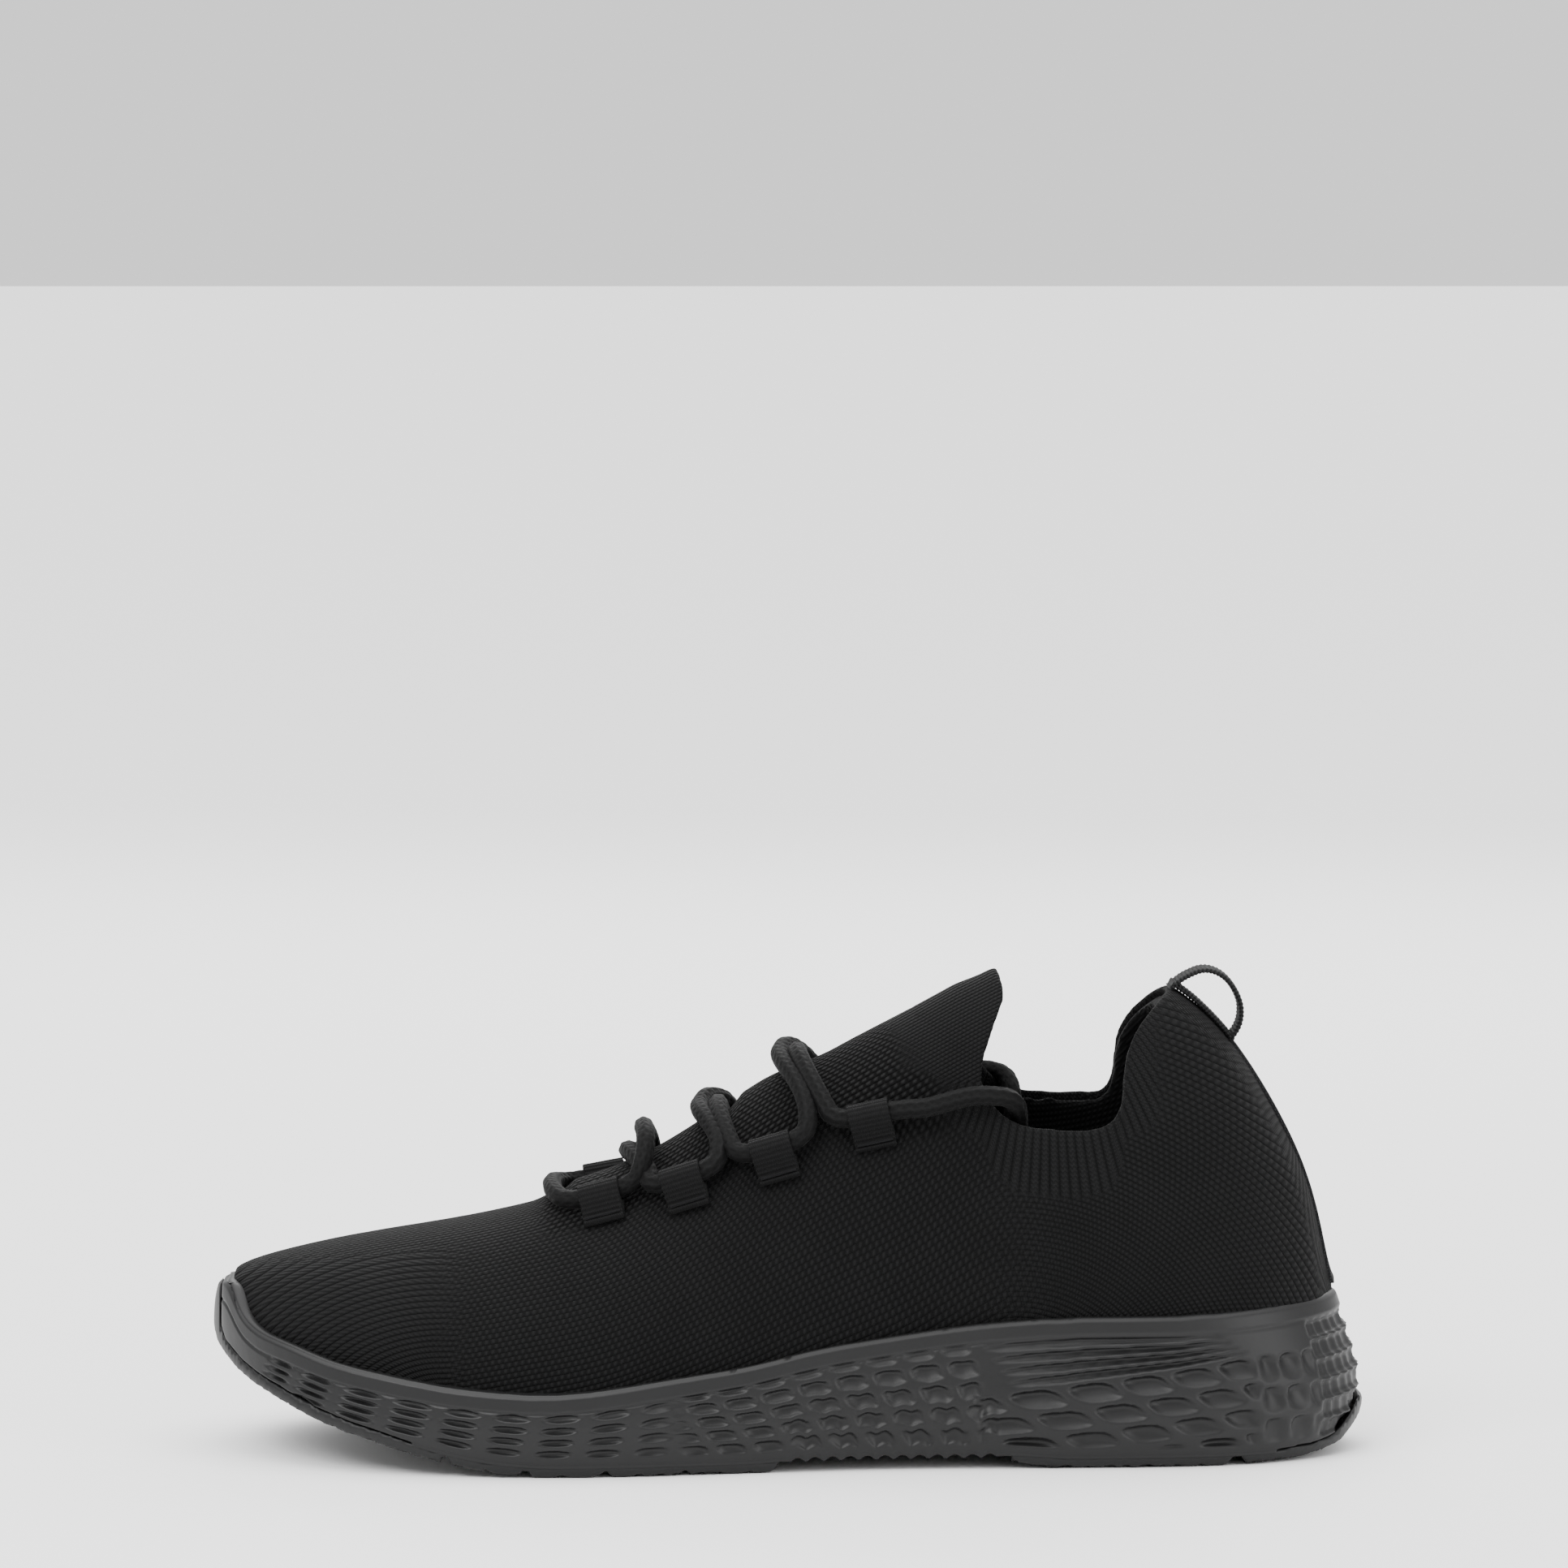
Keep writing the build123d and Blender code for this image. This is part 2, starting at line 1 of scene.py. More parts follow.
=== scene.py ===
"""The looks of a knitted running shoe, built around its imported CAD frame. Metres, +X to the heel."""
import math

import bpy
import numpy as np
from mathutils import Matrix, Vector
from mathutils.bvhtree import BVHTree
from mathutils.kdtree import KDTree


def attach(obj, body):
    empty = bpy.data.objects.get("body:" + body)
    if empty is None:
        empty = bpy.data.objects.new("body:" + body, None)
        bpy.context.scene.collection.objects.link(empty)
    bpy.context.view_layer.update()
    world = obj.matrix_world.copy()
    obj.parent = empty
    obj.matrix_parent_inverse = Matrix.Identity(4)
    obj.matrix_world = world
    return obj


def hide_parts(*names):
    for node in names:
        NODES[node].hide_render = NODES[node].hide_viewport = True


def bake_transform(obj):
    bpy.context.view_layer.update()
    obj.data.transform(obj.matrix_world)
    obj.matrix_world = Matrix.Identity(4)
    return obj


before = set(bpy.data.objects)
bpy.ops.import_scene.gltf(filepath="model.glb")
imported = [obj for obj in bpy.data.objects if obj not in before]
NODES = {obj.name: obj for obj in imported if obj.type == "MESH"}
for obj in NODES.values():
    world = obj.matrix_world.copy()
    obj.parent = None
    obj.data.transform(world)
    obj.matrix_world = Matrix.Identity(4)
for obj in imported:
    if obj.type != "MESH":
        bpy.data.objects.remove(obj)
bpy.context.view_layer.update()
MM = 0.001
SHOE, TONGUE, PULL = "shoe", "tongue_end", "pull_loop"


# ---------------------------------------------------------------- small helpers
def link(name, points, faces, material, body=None):
    """A smooth mesh object from points in metres."""
    mesh = bpy.data.meshes.new(name)
    mesh.from_pydata([tuple(p) for p in points], [], [tuple(f) for f in faces])
    mesh.validate()
    mesh.polygons.foreach_set("use_smooth", [True] * len(mesh.polygons))
    obj = bpy.data.objects.new(name, mesh)
    bpy.context.scene.collection.objects.link(obj)
    mesh.materials.append(material)
    if body:
        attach(obj, body)
    return obj


def grid_faces(rows, columns, close_rows=False, close_columns=False):
    """Quads of a grid whose points are stored row by row."""
    faces = []
    for i in range(rows if close_rows else rows - 1):
        for j in range(columns if close_columns else columns - 1):
            row, next_row = i * columns, ((i + 1) % rows) * columns
            k = (j + 1) % columns
            faces.append((row + j, row + k, next_row + k, next_row + j))
    return faces


def coordinates(mesh):
    points = np.empty(len(mesh.vertices) * 3)
    mesh.vertices.foreach_get("co", points)
    return points.reshape(-1, 3)


def normals(mesh):
    points = np.empty(len(mesh.vertices) * 3)
    mesh.vertices.foreach_get("normal", points)
    return points.reshape(-1, 3)


def set_coordinates(mesh, points):
    mesh.vertices.foreach_set("co", np.ascontiguousarray(points).ravel())
    mesh.update()


def set_value(mesh, name, values):
    attribute = mesh.attributes.new(name, "FLOAT", "POINT")
    attribute.data.foreach_set("value", np.asarray(values, np.float32))


def ease(value, low, high):
    """0 below low, 1 above high, smooth between."""
    part = np.clip((value - low) / (high - low), 0, 1)
    return part * part * (3 - 2 * part)


def copy_of(names, name, move=None):
    """One new mesh object with the CAD meshes of some nodes."""
    points, faces = [], []
    for node in names:
        mesh = NODES[node].data
        part = coordinates(mesh)
        if move:
            part = move(node, part)
        faces += [[v + len(points) for v in polygon.vertices] for polygon in mesh.polygons]
        points += [tuple(p) for p in part]
    mesh = bpy.data.meshes.new(name)
    mesh.from_pydata(points, [], faces)
    obj = bpy.data.objects.new(name, mesh)
    bpy.context.scene.collection.objects.link(obj)
    return obj


def use_modifier(obj, kind, **settings):
    """Adds a modifier and applies it."""
    modifier = obj.modifiers.new(kind.lower(), kind)
    for key, value in settings.items():
        setattr(modifier, key, value)
    graph = bpy.context.evaluated_depsgraph_get()
    mesh = bpy.data.meshes.new_from_object(obj.evaluated_get(graph))
    obj.modifiers.clear()
    obj.data = mesh
    return obj


def remeshed(names, name, voxel, material, smooth_steps, move=None):
    """An even, closed skin over some CAD nodes."""
    obj = copy_of(names, name, move)
    use_modifier(obj, "WELD", merge_threshold=0.01 * MM)
    use_modifier(obj, "REMESH", mode="VOXEL", voxel_size=voxel * MM, adaptivity=0.0)
    use_modifier(obj, "SMOOTH", factor=0.5, iterations=smooth_steps)
    obj.data.polygons.foreach_set("use_smooth", [True] * len(obj.data.polygons))
    obj.data.materials.clear()
    obj.data.materials.append(material)
    return obj


# ---------------------------------------------------------------- shader helpers
RIB_PITCH = 2.2            # of the collar band
LACE_STRIPES = 7           # lines along the braid
BRAID_AROUND, BRAID_ALONG = 8.0, 2.2


class Nodes:
    """Builds one material's node tree with short calls."""

    def __init__(self, name, colour, roughness, specular, sheen=0.0):
        self.material = bpy.data.materials.new(name)
        self.material.use_nodes = True
        self.tree = self.material.node_tree
        self.shader = self.tree.nodes["Principled BSDF"]
        self.shader.inputs["Base Color"].default_value = (*colour, 1)
        self.shader.inputs["Roughness"].default_value = roughness
        self.shader.inputs["Specular IOR Level"].default_value = specular
        self.shader.inputs["Sheen Weight"].default_value = sheen
        self.shader.inputs["Sheen Roughness"].default_value = 0.4

    def plug(self, value, socket):
        if hasattr(value, "links"):
            self.tree.links.new(value, socket)
        else:
            socket.default_value = value

    def math(self, operation, first, second=0.0, third=0.0):
        node = self.tree.nodes.new("ShaderNodeMath")
        node.operation = operation
        for value, socket in zip((first, second, third), node.inputs):
            self.plug(value, socket)
        return node.outputs[0]

    def scaled(self, value, factor, offset):
        return self.math("MULTIPLY_ADD", value, factor, offset)

    def value(self, name):
        node = self.tree.nodes.new("ShaderNodeAttribute")
        node.attribute_name = name
        return node.outputs["Fac"]

    def wave(self, value, pitch, shift=0.0):
        """A sine of 0 to 1 along a value in millimetres."""
        angle = self.scaled(value, 2 * math.pi / pitch, shift)
        return self.scaled(self.math("SINE", angle), 0.5, 0.5)

    def noise(self, scale, detail=3.0):
        node = self.tree.nodes.new("ShaderNodeTexNoise")
        place = self.tree.nodes.new("ShaderNodeTexCoord")
        node.inputs["Scale"].default_value = scale
        node.inputs["Detail"].default_value = detail
        self.tree.links.new(place.outputs["Object"], node.inputs["Vector"])
        return node.outputs["Fac"]

    def blend(self, share, first, second):
        """first where share is 0, second where it is 1 (numbers)."""
        node = self.tree.nodes.new("ShaderNodeMix")
        self.plug(share, node.inputs[0])
        self.plug(first, node.inputs[2])
        self.plug(second, node.inputs[3])
        return node.outputs[0]

    def colour(self, share, low, high):
        node = self.tree.nodes.new("ShaderNodeMix")
        node.data_type = "RGBA"
        self.plug(share, node.inputs[0])
        node.inputs[6].default_value = (*low, 1)
        node.inputs[7].default_value = (*high, 1)
        self.tree.links.new(node.outputs[2], self.shader.inputs["Base Color"])

    def rough(self, share, low, high):
        self.tree.links.new(self.blend(share, low, high), self.shader.inputs["Roughness"])

    def bump(self, height, distance):
        """Raises the surface by up to distance millimetres, in its shading."""
        node = self.tree.nodes.new("ShaderNodeBump")
        node.inputs["Distance"].default_value = distance * MM
        node.inputs["Strength"].default_value = 1.0
        self.plug(height, node.inputs["Height"])
        self.tree.links.new(node.outputs["Normal"], self.shader.inputs["Normal"])


def beads(n, pair, row_pitch, bead_pitch, gap, depth):
    """Knit stitches as rows of beads, each row shifted half a bead against the next."""
    across, along = n.value(pair + "_across"), n.value(pair + "_along")
    row_number = n.math("FLOOR", n.math("DIVIDE", across, row_pitch))
    shift = n.math("MULTIPLY", row_number, math.pi)
    row = n.math("SINE", n.math("MULTIPLY", across, math.pi / row_pitch))
    rows = n.math("POWER", n.math("ABSOLUTE", row), gap)
    bead = n.wave(along, bead_pitch, shift)
    return n.math("MULTIPLY", rows, n.scaled(bead, depth, 1 - depth))


def knit_material():
    """Black knit. Each zone has its own stitch, laid along its own pair of lines."""
    n = Nodes("knit", (0.004, 0.004, 0.004), 0.9, sheen=0.03, specular=0.1)
    body = beads(n, "body", 1.6, 1.75, 0.5, 0.75)
    toe = beads(n, "toe", 1.3, 1.45, 0.8, 0.35)
    arcs = beads(n, "arc", 1.3, 1.35, 0.7, 0.55)
    tongue = beads(n, "tongue", 1.15, 1.2, 0.7, 0.45)
    fan, below = n.value("collar_across"), n.value("collar_along")
    rib = n.math("SINE", n.math("MULTIPLY", fan, math.pi / RIB_PITCH))
    rib = n.math("POWER", n.math("ABSOLUTE", rib), 0.55)
    slant = n.math("MULTIPLY", n.wave(fan, RIB_PITCH / 2), 2.6)
    rib = n.math("MULTIPLY", rib, n.scaled(n.wave(below, 1.25, slant), 0.4, 0.6))
    open_cells = n.math("SUBTRACT", n.math("MULTIPLY", beads(n, "body", 2.0, 2.1, 1.3, 1.0), 1.7), 0.25)
    height = body
    for zone, pattern in (("zone_toe", toe), ("zone_arc", arcs), ("zone_collar", rib),
                          ("zone_mesh", open_cells), ("zone_tongue", tongue)):
        height = n.blend(n.value(zone), height, pattern)
    fuzz = n.noise(1300.0, 4.0)
    height = n.math("ADD", height, n.math("MULTIPLY", fuzz, 0.25))
    # painted light: the colour follows the stitch height, so stitch tops get a painted highlight and the
    # gaps between stitches and the open mesh cells get painted shade; the coarse noise adds real uneven tone
    painted_light_and_tone = n.math("MULTIPLY", height, n.scaled(n.noise(60.0, 2.0), 0.5, 0.75))
    n.colour(n.math("POWER", painted_light_and_tone, 1.5), (0.0003, 0.0003, 0.0003), (0.0065, 0.0065, 0.0067))
    n.rough(fuzz, 0.8, 0.95)
    n.bump(height, 0.6)
    return n.material


def rib_material(name, low, high, pitch, cross):
    """Woven tape: cords across it, each crossed by fine warp threads."""
    n = Nodes(name, high, 0.75, sheen=0.02, specular=0.12)
    along, across = n.value("tape_along"), n.value("tape_across")
    cord = n.wave(along, pitch)
    thread = n.wave(across, cross, n.math("MULTIPLY", n.wave(along, pitch * 2), 3.1))
    height = n.math("MULTIPLY", n.math("POWER", cord, 0.7), n.scaled(thread, 0.5, 0.5))
    # painted shade: the colour follows the cord height, darker in the grooves between cords and threads and
    # lighter on their tops
    n.colour(height, low, high)
    n.rough(n.noise(1200.0), 0.6, 0.85)
    n.bump(height, 0.22)
    return n.material


def braid_material():
    """Round braided lace: plaits that cross both ways round the cord."""
    n = Nodes("braid", (0.003, 0.003, 0.003), 0.75, sheen=0.02, specular=0.12)
    along, around = n.value("braid_along"), n.value("braid_around")
    turned, passed = n.math("MULTIPLY", around, BRAID_AROUND), n.math("MULTIPLY", along, BRAID_ALONG)
    left = n.wave(n.math("ADD", turned, passed), 2 * math.pi)
    right = n.wave(n.math("SUBTRACT", turned, passed), 2 * math.pi)
    stripe = n.wave(around, 2 * math.pi / LACE_STRIPES)
    strand = n.noise(1500.0, 3.0)
    plaits = n.math("MULTIPLY", n.math("MAXIMUM", left, right), 0.45)
    height = n.math("ADD", plaits, n.math("MULTIPLY", stripe, 0.5))
    height = n.math("ADD", height, n.math("MULTIPLY", strand, 0.2))
    # painted light: the colour follows the plait height, with a painted highlight on plait tops and stripes
    # and painted shade between them; the strand noise adds real uneven tone
    n.colour(n.math("POWER", height, 1.5), (0.0003, 0.0003, 0.0003), (0.0035, 0.0035, 0.0036))
    n.rough(strand, 0.6, 0.85)
    n.bump(height, 0.2)
    return n.material


def plain_cloth(name, low, high, pitch, depth):
    """Fine woven or meshed cloth, placed by object coordinates."""
    n = Nodes(name, high, 0.9, sheen=0.03, specular=0.12)
    place = n.tree.nodes.new("ShaderNodeTexCoord")
    split = n.tree.nodes.new("ShaderNodeSeparateXYZ")
    n.tree.links.new(place.outputs["Object"], split.inputs[0])
    x, y, z = (n.math("MULTIPLY", split.outputs[i], 1000.0) for i in range(3))
    first = n.wave(n.math("ADD", x, y), pitch)
    second = n.wave(n.math("SUBTRACT", n.math("ADD", z, y), n.math("MULTIPLY", x, 0.2)), pitch)
    height = n.math("ADD", n.math("MULTIPLY", first, second), n.math("MULTIPLY", n.noise(900.0), 0.3))
    # painted shade: the colour follows the weave height, darker in the gaps of the weave; the noise adds
    # real uneven tone
    n.colour(height, low, high)
    n.bump(height, depth)
    return n.material


def moulded(name, low, high, rough_low, rough_high, grain, depth):
    """Moulded foam or rubber: fine grain, faint scuffs and uneven gloss."""
    n = Nodes(name, high, rough_high, specular=0.3)
    fine, wide = n.noise(grain, 5.0), n.noise(38.0, 3.0)
    n.colour(n.math("MULTIPLY", n.math("ADD", fine, wide), 0.5), low, high)
    n.rough(wide, rough_low, rough_high)
    n.bump(fine, depth)
    return n.material


KNIT = knit_material()
GROSGRAIN = rib_material("grosgrain", (0.0002, 0.0002, 0.0002), (0.005, 0.005, 0.0052), 1.25, 0.55)
WEBBING = rib_material("webbing", (0.002, 0.002, 0.0021), (0.014, 0.014, 0.0145), 1.0, 0.6)
BRAID = braid_material()
LINING = plain_cloth("lining", (0.0008, 0.0008, 0.0008), (0.004, 0.004, 0.0042), 1.3, 0.25)
INSOLE = plain_cloth("insole_cloth", (0.002, 0.002, 0.002), (0.008, 0.008, 0.0085), 0.9, 0.15)
SEAM_TAPE = plain_cloth("seam_tape", (0.006, 0.006, 0.0065), (0.024, 0.024, 0.025), 0.8, 0.15)
THREAD = plain_cloth("thread", (0.002, 0.002, 0.0021), (0.011, 0.011, 0.012), 0.35, 0.1)
FOAM = moulded("midsole_foam", (0.0035, 0.0035, 0.0037), (0.006, 0.006, 0.0063), 0.36, 0.5, 1400.0, 0.02)
RUBBER = moulded("outsole_rubber", (0.003, 0.003, 0.0032), (0.0055, 0.0055, 0.0058), 0.4, 0.55, 1000.0, 0.04)
PLASTIC = moulded("lace_tip", (0.004, 0.004, 0.0042), (0.007, 0.007, 0.0073), 0.15, 0.25, 500.0, 0.01)
INSIDE = moulded("inner_parts", (0.008, 0.008, 0.008), (0.02, 0.02, 0.02), 0.8, 0.95, 900.0, 0.05)

# ---------------------------------------------------------------- the upper's shape
# x, footbed height, ridge height, outer y, inner y, ridge y, squareness: as in the CAD.
SECTIONS = np.array([
    (-142.5, 35.0, 44.3, -1.0, 16.5, 7.8, 2.3),
    (-139.0, 32.5, 46.2, -9.5, 24.5, 8.0, 2.3),
    (-130.0, 28.0, 48.9, -20.5, 33.0, 8.0, 2.3),
    (-115.0, 21.5, 52.3, -32.5, 41.5, 7.0, 2.3),
    (-95.0, 16.0, 55.9, -42.0, 47.0, 6.0, 2.2),
    (-70.0, 13.0, 61.0, -46.5, 46.5, 5.0, 2.05),
    (-45.0, 13.0, 68.5, -47.0, 41.0, 4.0, 1.95),
    (-20.0, 15.0, 82.3, -44.0, 34.0, 3.0, 1.9),
    (5.0, 18.5, 98.3, -39.5, 29.0, 1.5, 1.9),
    (30.0, 22.0, 112.0, -35.5, 28.0, 0.0, 2.0),
    (50.0, 24.0, 122.5, -34.0, 29.5, 0.0, 2.1),
    (70.0, 25.5, 129.0, -34.0, 31.5, 0.0, 2.3),
    (90.0, 26.0, 123.0, -33.5, 32.0, 0.0, 2.4),
    (105.0, 26.0, 113.6, -32.0, 31.5, 0.0, 2.4),
    (118.0, 26.0, 98.3, -28.5, 28.0, 0.0, 2.4),
    (128.0, 26.3, 81.0, -22.5, 23.0, 0.0, 2.4),
    (135.0, 27.0, 62.5, -15.5, 16.5, 0.0, 2.3),
    (139.8, 29.0, 43.5, -6.0, 7.0, 0.0, 2.2),
])
SLOPES = np.gradient(SECTIONS, SECTIONS[:, 0], axis=0)


def along_shoe(x, column):
    """A column of SECTIONS at x, on a smooth curve."""
    x = np.clip(x, SECTIONS[0, 0], SECTIONS[-1, 0])
    k = np.clip(np.searchsorted(SECTIONS[:, 0], x, "right") - 1, 0, len(SECTIONS) - 2)
    start, width = SECTIONS[k, 0], SECTIONS[k + 1, 0] - SECTIONS[k, 0]
    t = (x - start) / width
    first, second = SECTIONS[k, column], SECTIONS[k + 1, column]
    lean, tilt = SLOPES[k, column] * width, SLOPES[k + 1, column] * width
    cubic = 2 * t**3 - 3 * t**2
    return (cubic + 1) * first + (t**3 - 2 * t**2 + t) * lean - cubic * second + (t**3 - t**2) * tilt


def skin(x, turn):
    """A point of the upper, in millimetres; turn is -90 at the outer base, 0 on the ridge."""
    base, top, lateral, medial, ridge, power = (along_shoe(x, c) for c in range(1, 7))
    side = medial if turn > 0 else lateral
    across = abs(math.sin(math.radians(turn))) ** (2 / power)
    upward = math.cos(math.radians(turn)) ** (2 / power)
    return np.array([x, ridge + (side - ridge) * across, base + (top - base) * upward])


# ---------------------------------------------------------------- the lace's route, as in the CAD
LACE_ROUTE = [
    (56.0, -13.0, 62.0), (57.0, -14.5, 71.0), (58.2, -16.5, 80.0), (58.7, -20.5, 87.5),
    (57.3, -26.0, 92.3), (52.5, -29.0, 93.6), (46.5, -28.6, 93.6), (40.5, -28.5, 92.0),
    (34.5, -28.3, 90.2), (28.8, -27.4, 90.1), (12.1, -26.3, 86.2), (8.5, -21.5, 92.0),
    (5.0, -14.0, 97.8), (2.7, -4.5, 101.6), (2.5, 5.0, 101.4), (4.0, 13.5, 96.6),
    (7.0, 20.0, 89.0), (5.1, 21.9, 81.3), (-12.3, 21.7, 77.3), (-14.8, 20.4, 86.3),
    (-20.3, 12.8, 89.0), (-22.8, 4.5, 87.0), (-22.0, -4.0, 86.4), (-19.0, -13.0, 84.0),
    (-17.0, -20.5, 80.2), (-18.3, -24.7, 74.7), (-35.1, -22.5, 69.1), (-35.3, -15.5, 72.8),
    (-38.6, -7.0, 75.2), (-41.0, 2.0, 76.0), (-40.8, 11.0, 74.6), (-37.8, 17.8, 73.0),
    (-38.4, 21.2, 68.4), (-55.8, 19.0, 65.4), (-59.8, 12.5, 66.5), (-60.6, 3.0, 67.2),
    (-59.8, -7.5, 66.4), (-56.0, -15.9, 64.6), (-39.0, -18.3, 69.2), (-36.6, -16.8, 75.8),
    (-36.0, -10.5, 81.6), (-37.0, 0.0, 82.6), (-36.6, 9.5, 80.6), (-35.0, 17.5, 76.2),
    (-34.9, 22.0, 70.0), (-17.4, 22.8, 73.4), (-15.8, 18.6, 80.2), (-17.3, 10.5, 85.6),
    (-17.8, 1.0, 88.6), (-17.6, -9.0, 86.8), (-15.5, -18.5, 82.3), (-12.6, -25.3, 77.1),
    (4.4, -26.7, 82.3), (5.4, -23.5, 88.7), (3.2, -16.5, 94.8), (-0.5, -7.0, 98.8),
    (-2.3, 3.0, 100.6), (-0.2, 12.0, 102.4), (5.0, 18.0, 98.6), (9.5, 22.3, 92.0),
    (12.0, 21.0, 86.0), (29.2, 22.4, 89.8), (35.5, 24.0, 90.5), (41.5, 24.6, 92.2),
    (47.5, 25.0, 93.8), (53.0, 25.2, 94.0), (57.3, 22.3, 92.6), (58.7, 17.0, 87.8),
    (58.2, 13.3, 80.0), (57.0, 11.5, 71.0), (56.0, 10.0, 62.0),
]
LACE_RADIUS = 2.5
ROUTE_STEPS = 16           # points of the smooth line for each control point


def spline_points(route):
    """Points along the smooth NURBS line that a route controls."""
    curve = bpy.data.curves.new("route", "CURVE")
    curve.dimensions = "3D"
    curve.resolution_u = ROUTE_STEPS
    spline = curve.splines.new("NURBS")
    spline.points.add(len(route) - 1)
    for point, place in zip(spline.points, route):
        point.co = (*(value * MM for value in place), 1)
    spline.order_u = 3
    spline.use_endpoint_u = True
    holder = bpy.data.objects.new("route", curve)
    mesh = bpy.data.meshes.new_from_object(holder)
    points = coordinates(mesh)
    bpy.data.objects.remove(holder)
    return points


def even_points(points, step):
    """The same line with evenly spaced points, in metres."""
    lengths = np.concatenate([[0], np.cumsum(np.linalg.norm(np.diff(points, axis=0), axis=1))])
    count = max(int(lengths[-1] / step), 2)
    marks = np.linspace(0, lengths[-1], count)
    return np.stack([np.interp(marks, lengths, points[:, axis]) for axis in range(3)], 1), marks


# ---------------------------------------------------------------- knitted upper and tongue
FOLD_TOP, FOLD_END = np.array([31.0, 112.6]) * MM, np.array([48.6, 96.6]) * MM
FOLD_RUN = (FOLD_END - FOLD_TOP) / np.linalg.norm(FOLD_END - FOLD_TOP)
FOLD_OUT = np.array([-FOLD_RUN[1], FOLD_RUN[0]])
CUT_REACH, CUT_MOVE = 0.9, 1.4
TONGUE_BACK = 60.0
KNIT_VOXEL, LINING_VOXEL = 0.62, 1.0


def close_fold(node, points):
    """Moves the tongue's cut edge down onto the knit, so that one skin covers both."""
    if node != "tongue":
        return points
    moved = points.copy()
    away = (points[:, [0, 2]] - FOLD_TOP) @ FOLD_OUT
    edge = away < CUT_REACH * MM
    moved[edge, 0] -= FOLD_OUT[0] * CUT_MOVE * MM
    moved[edge, 2] -= FOLD_OUT[1] * CUT_MOVE * MM
    return moved


COLLAR = np.array([(49.2, 99.0), (52.0, 90.8), (58.0, 86.4), (68.0, 84.9), (76.0, 84.9), (81.5, 86.8),
                   (84.2, 91.5), (85.0, 99.0)])


def relax(mesh, points, strength, steps):
    """Evens out the points where strength (0 to 0.5) isn't zero, which rounds sharp corners."""
    mask = strength > 0
    ends = np.empty(len(mesh.edges) * 2, np.int64)
    mesh.edges.foreach_get("vertices", ends)
    first, second = ends.reshape(-1, 2)[mask[ends.reshape(-1, 2)].any(1)].T
    size = len(points)
    count = np.bincount(first, minlength=size) + np.bincount(second, minlength=size)
    for _ in range(steps):
        total = np.stack([np.bincount(first, points[second, axis], size)
                          + np.bincount(second, points[first, axis], size) for axis in range(3)], 1)
        average = total[mask] / count[mask][:, None]
        points[mask] += (average - points[mask]) * strength[mask][:, None]
    return points


TOE_CENTRE, TOE_STRETCH = (-86.0, 16.0), 1.61
HEEL_CENTRE = (58.0, 12.0)
FAN_CENTRE, FAN_RADIUS = (66.0, 138.0), 58.0
COLLAR_DEPTH = 17.0
TONGUE_TIP = (50.5, 122.0)


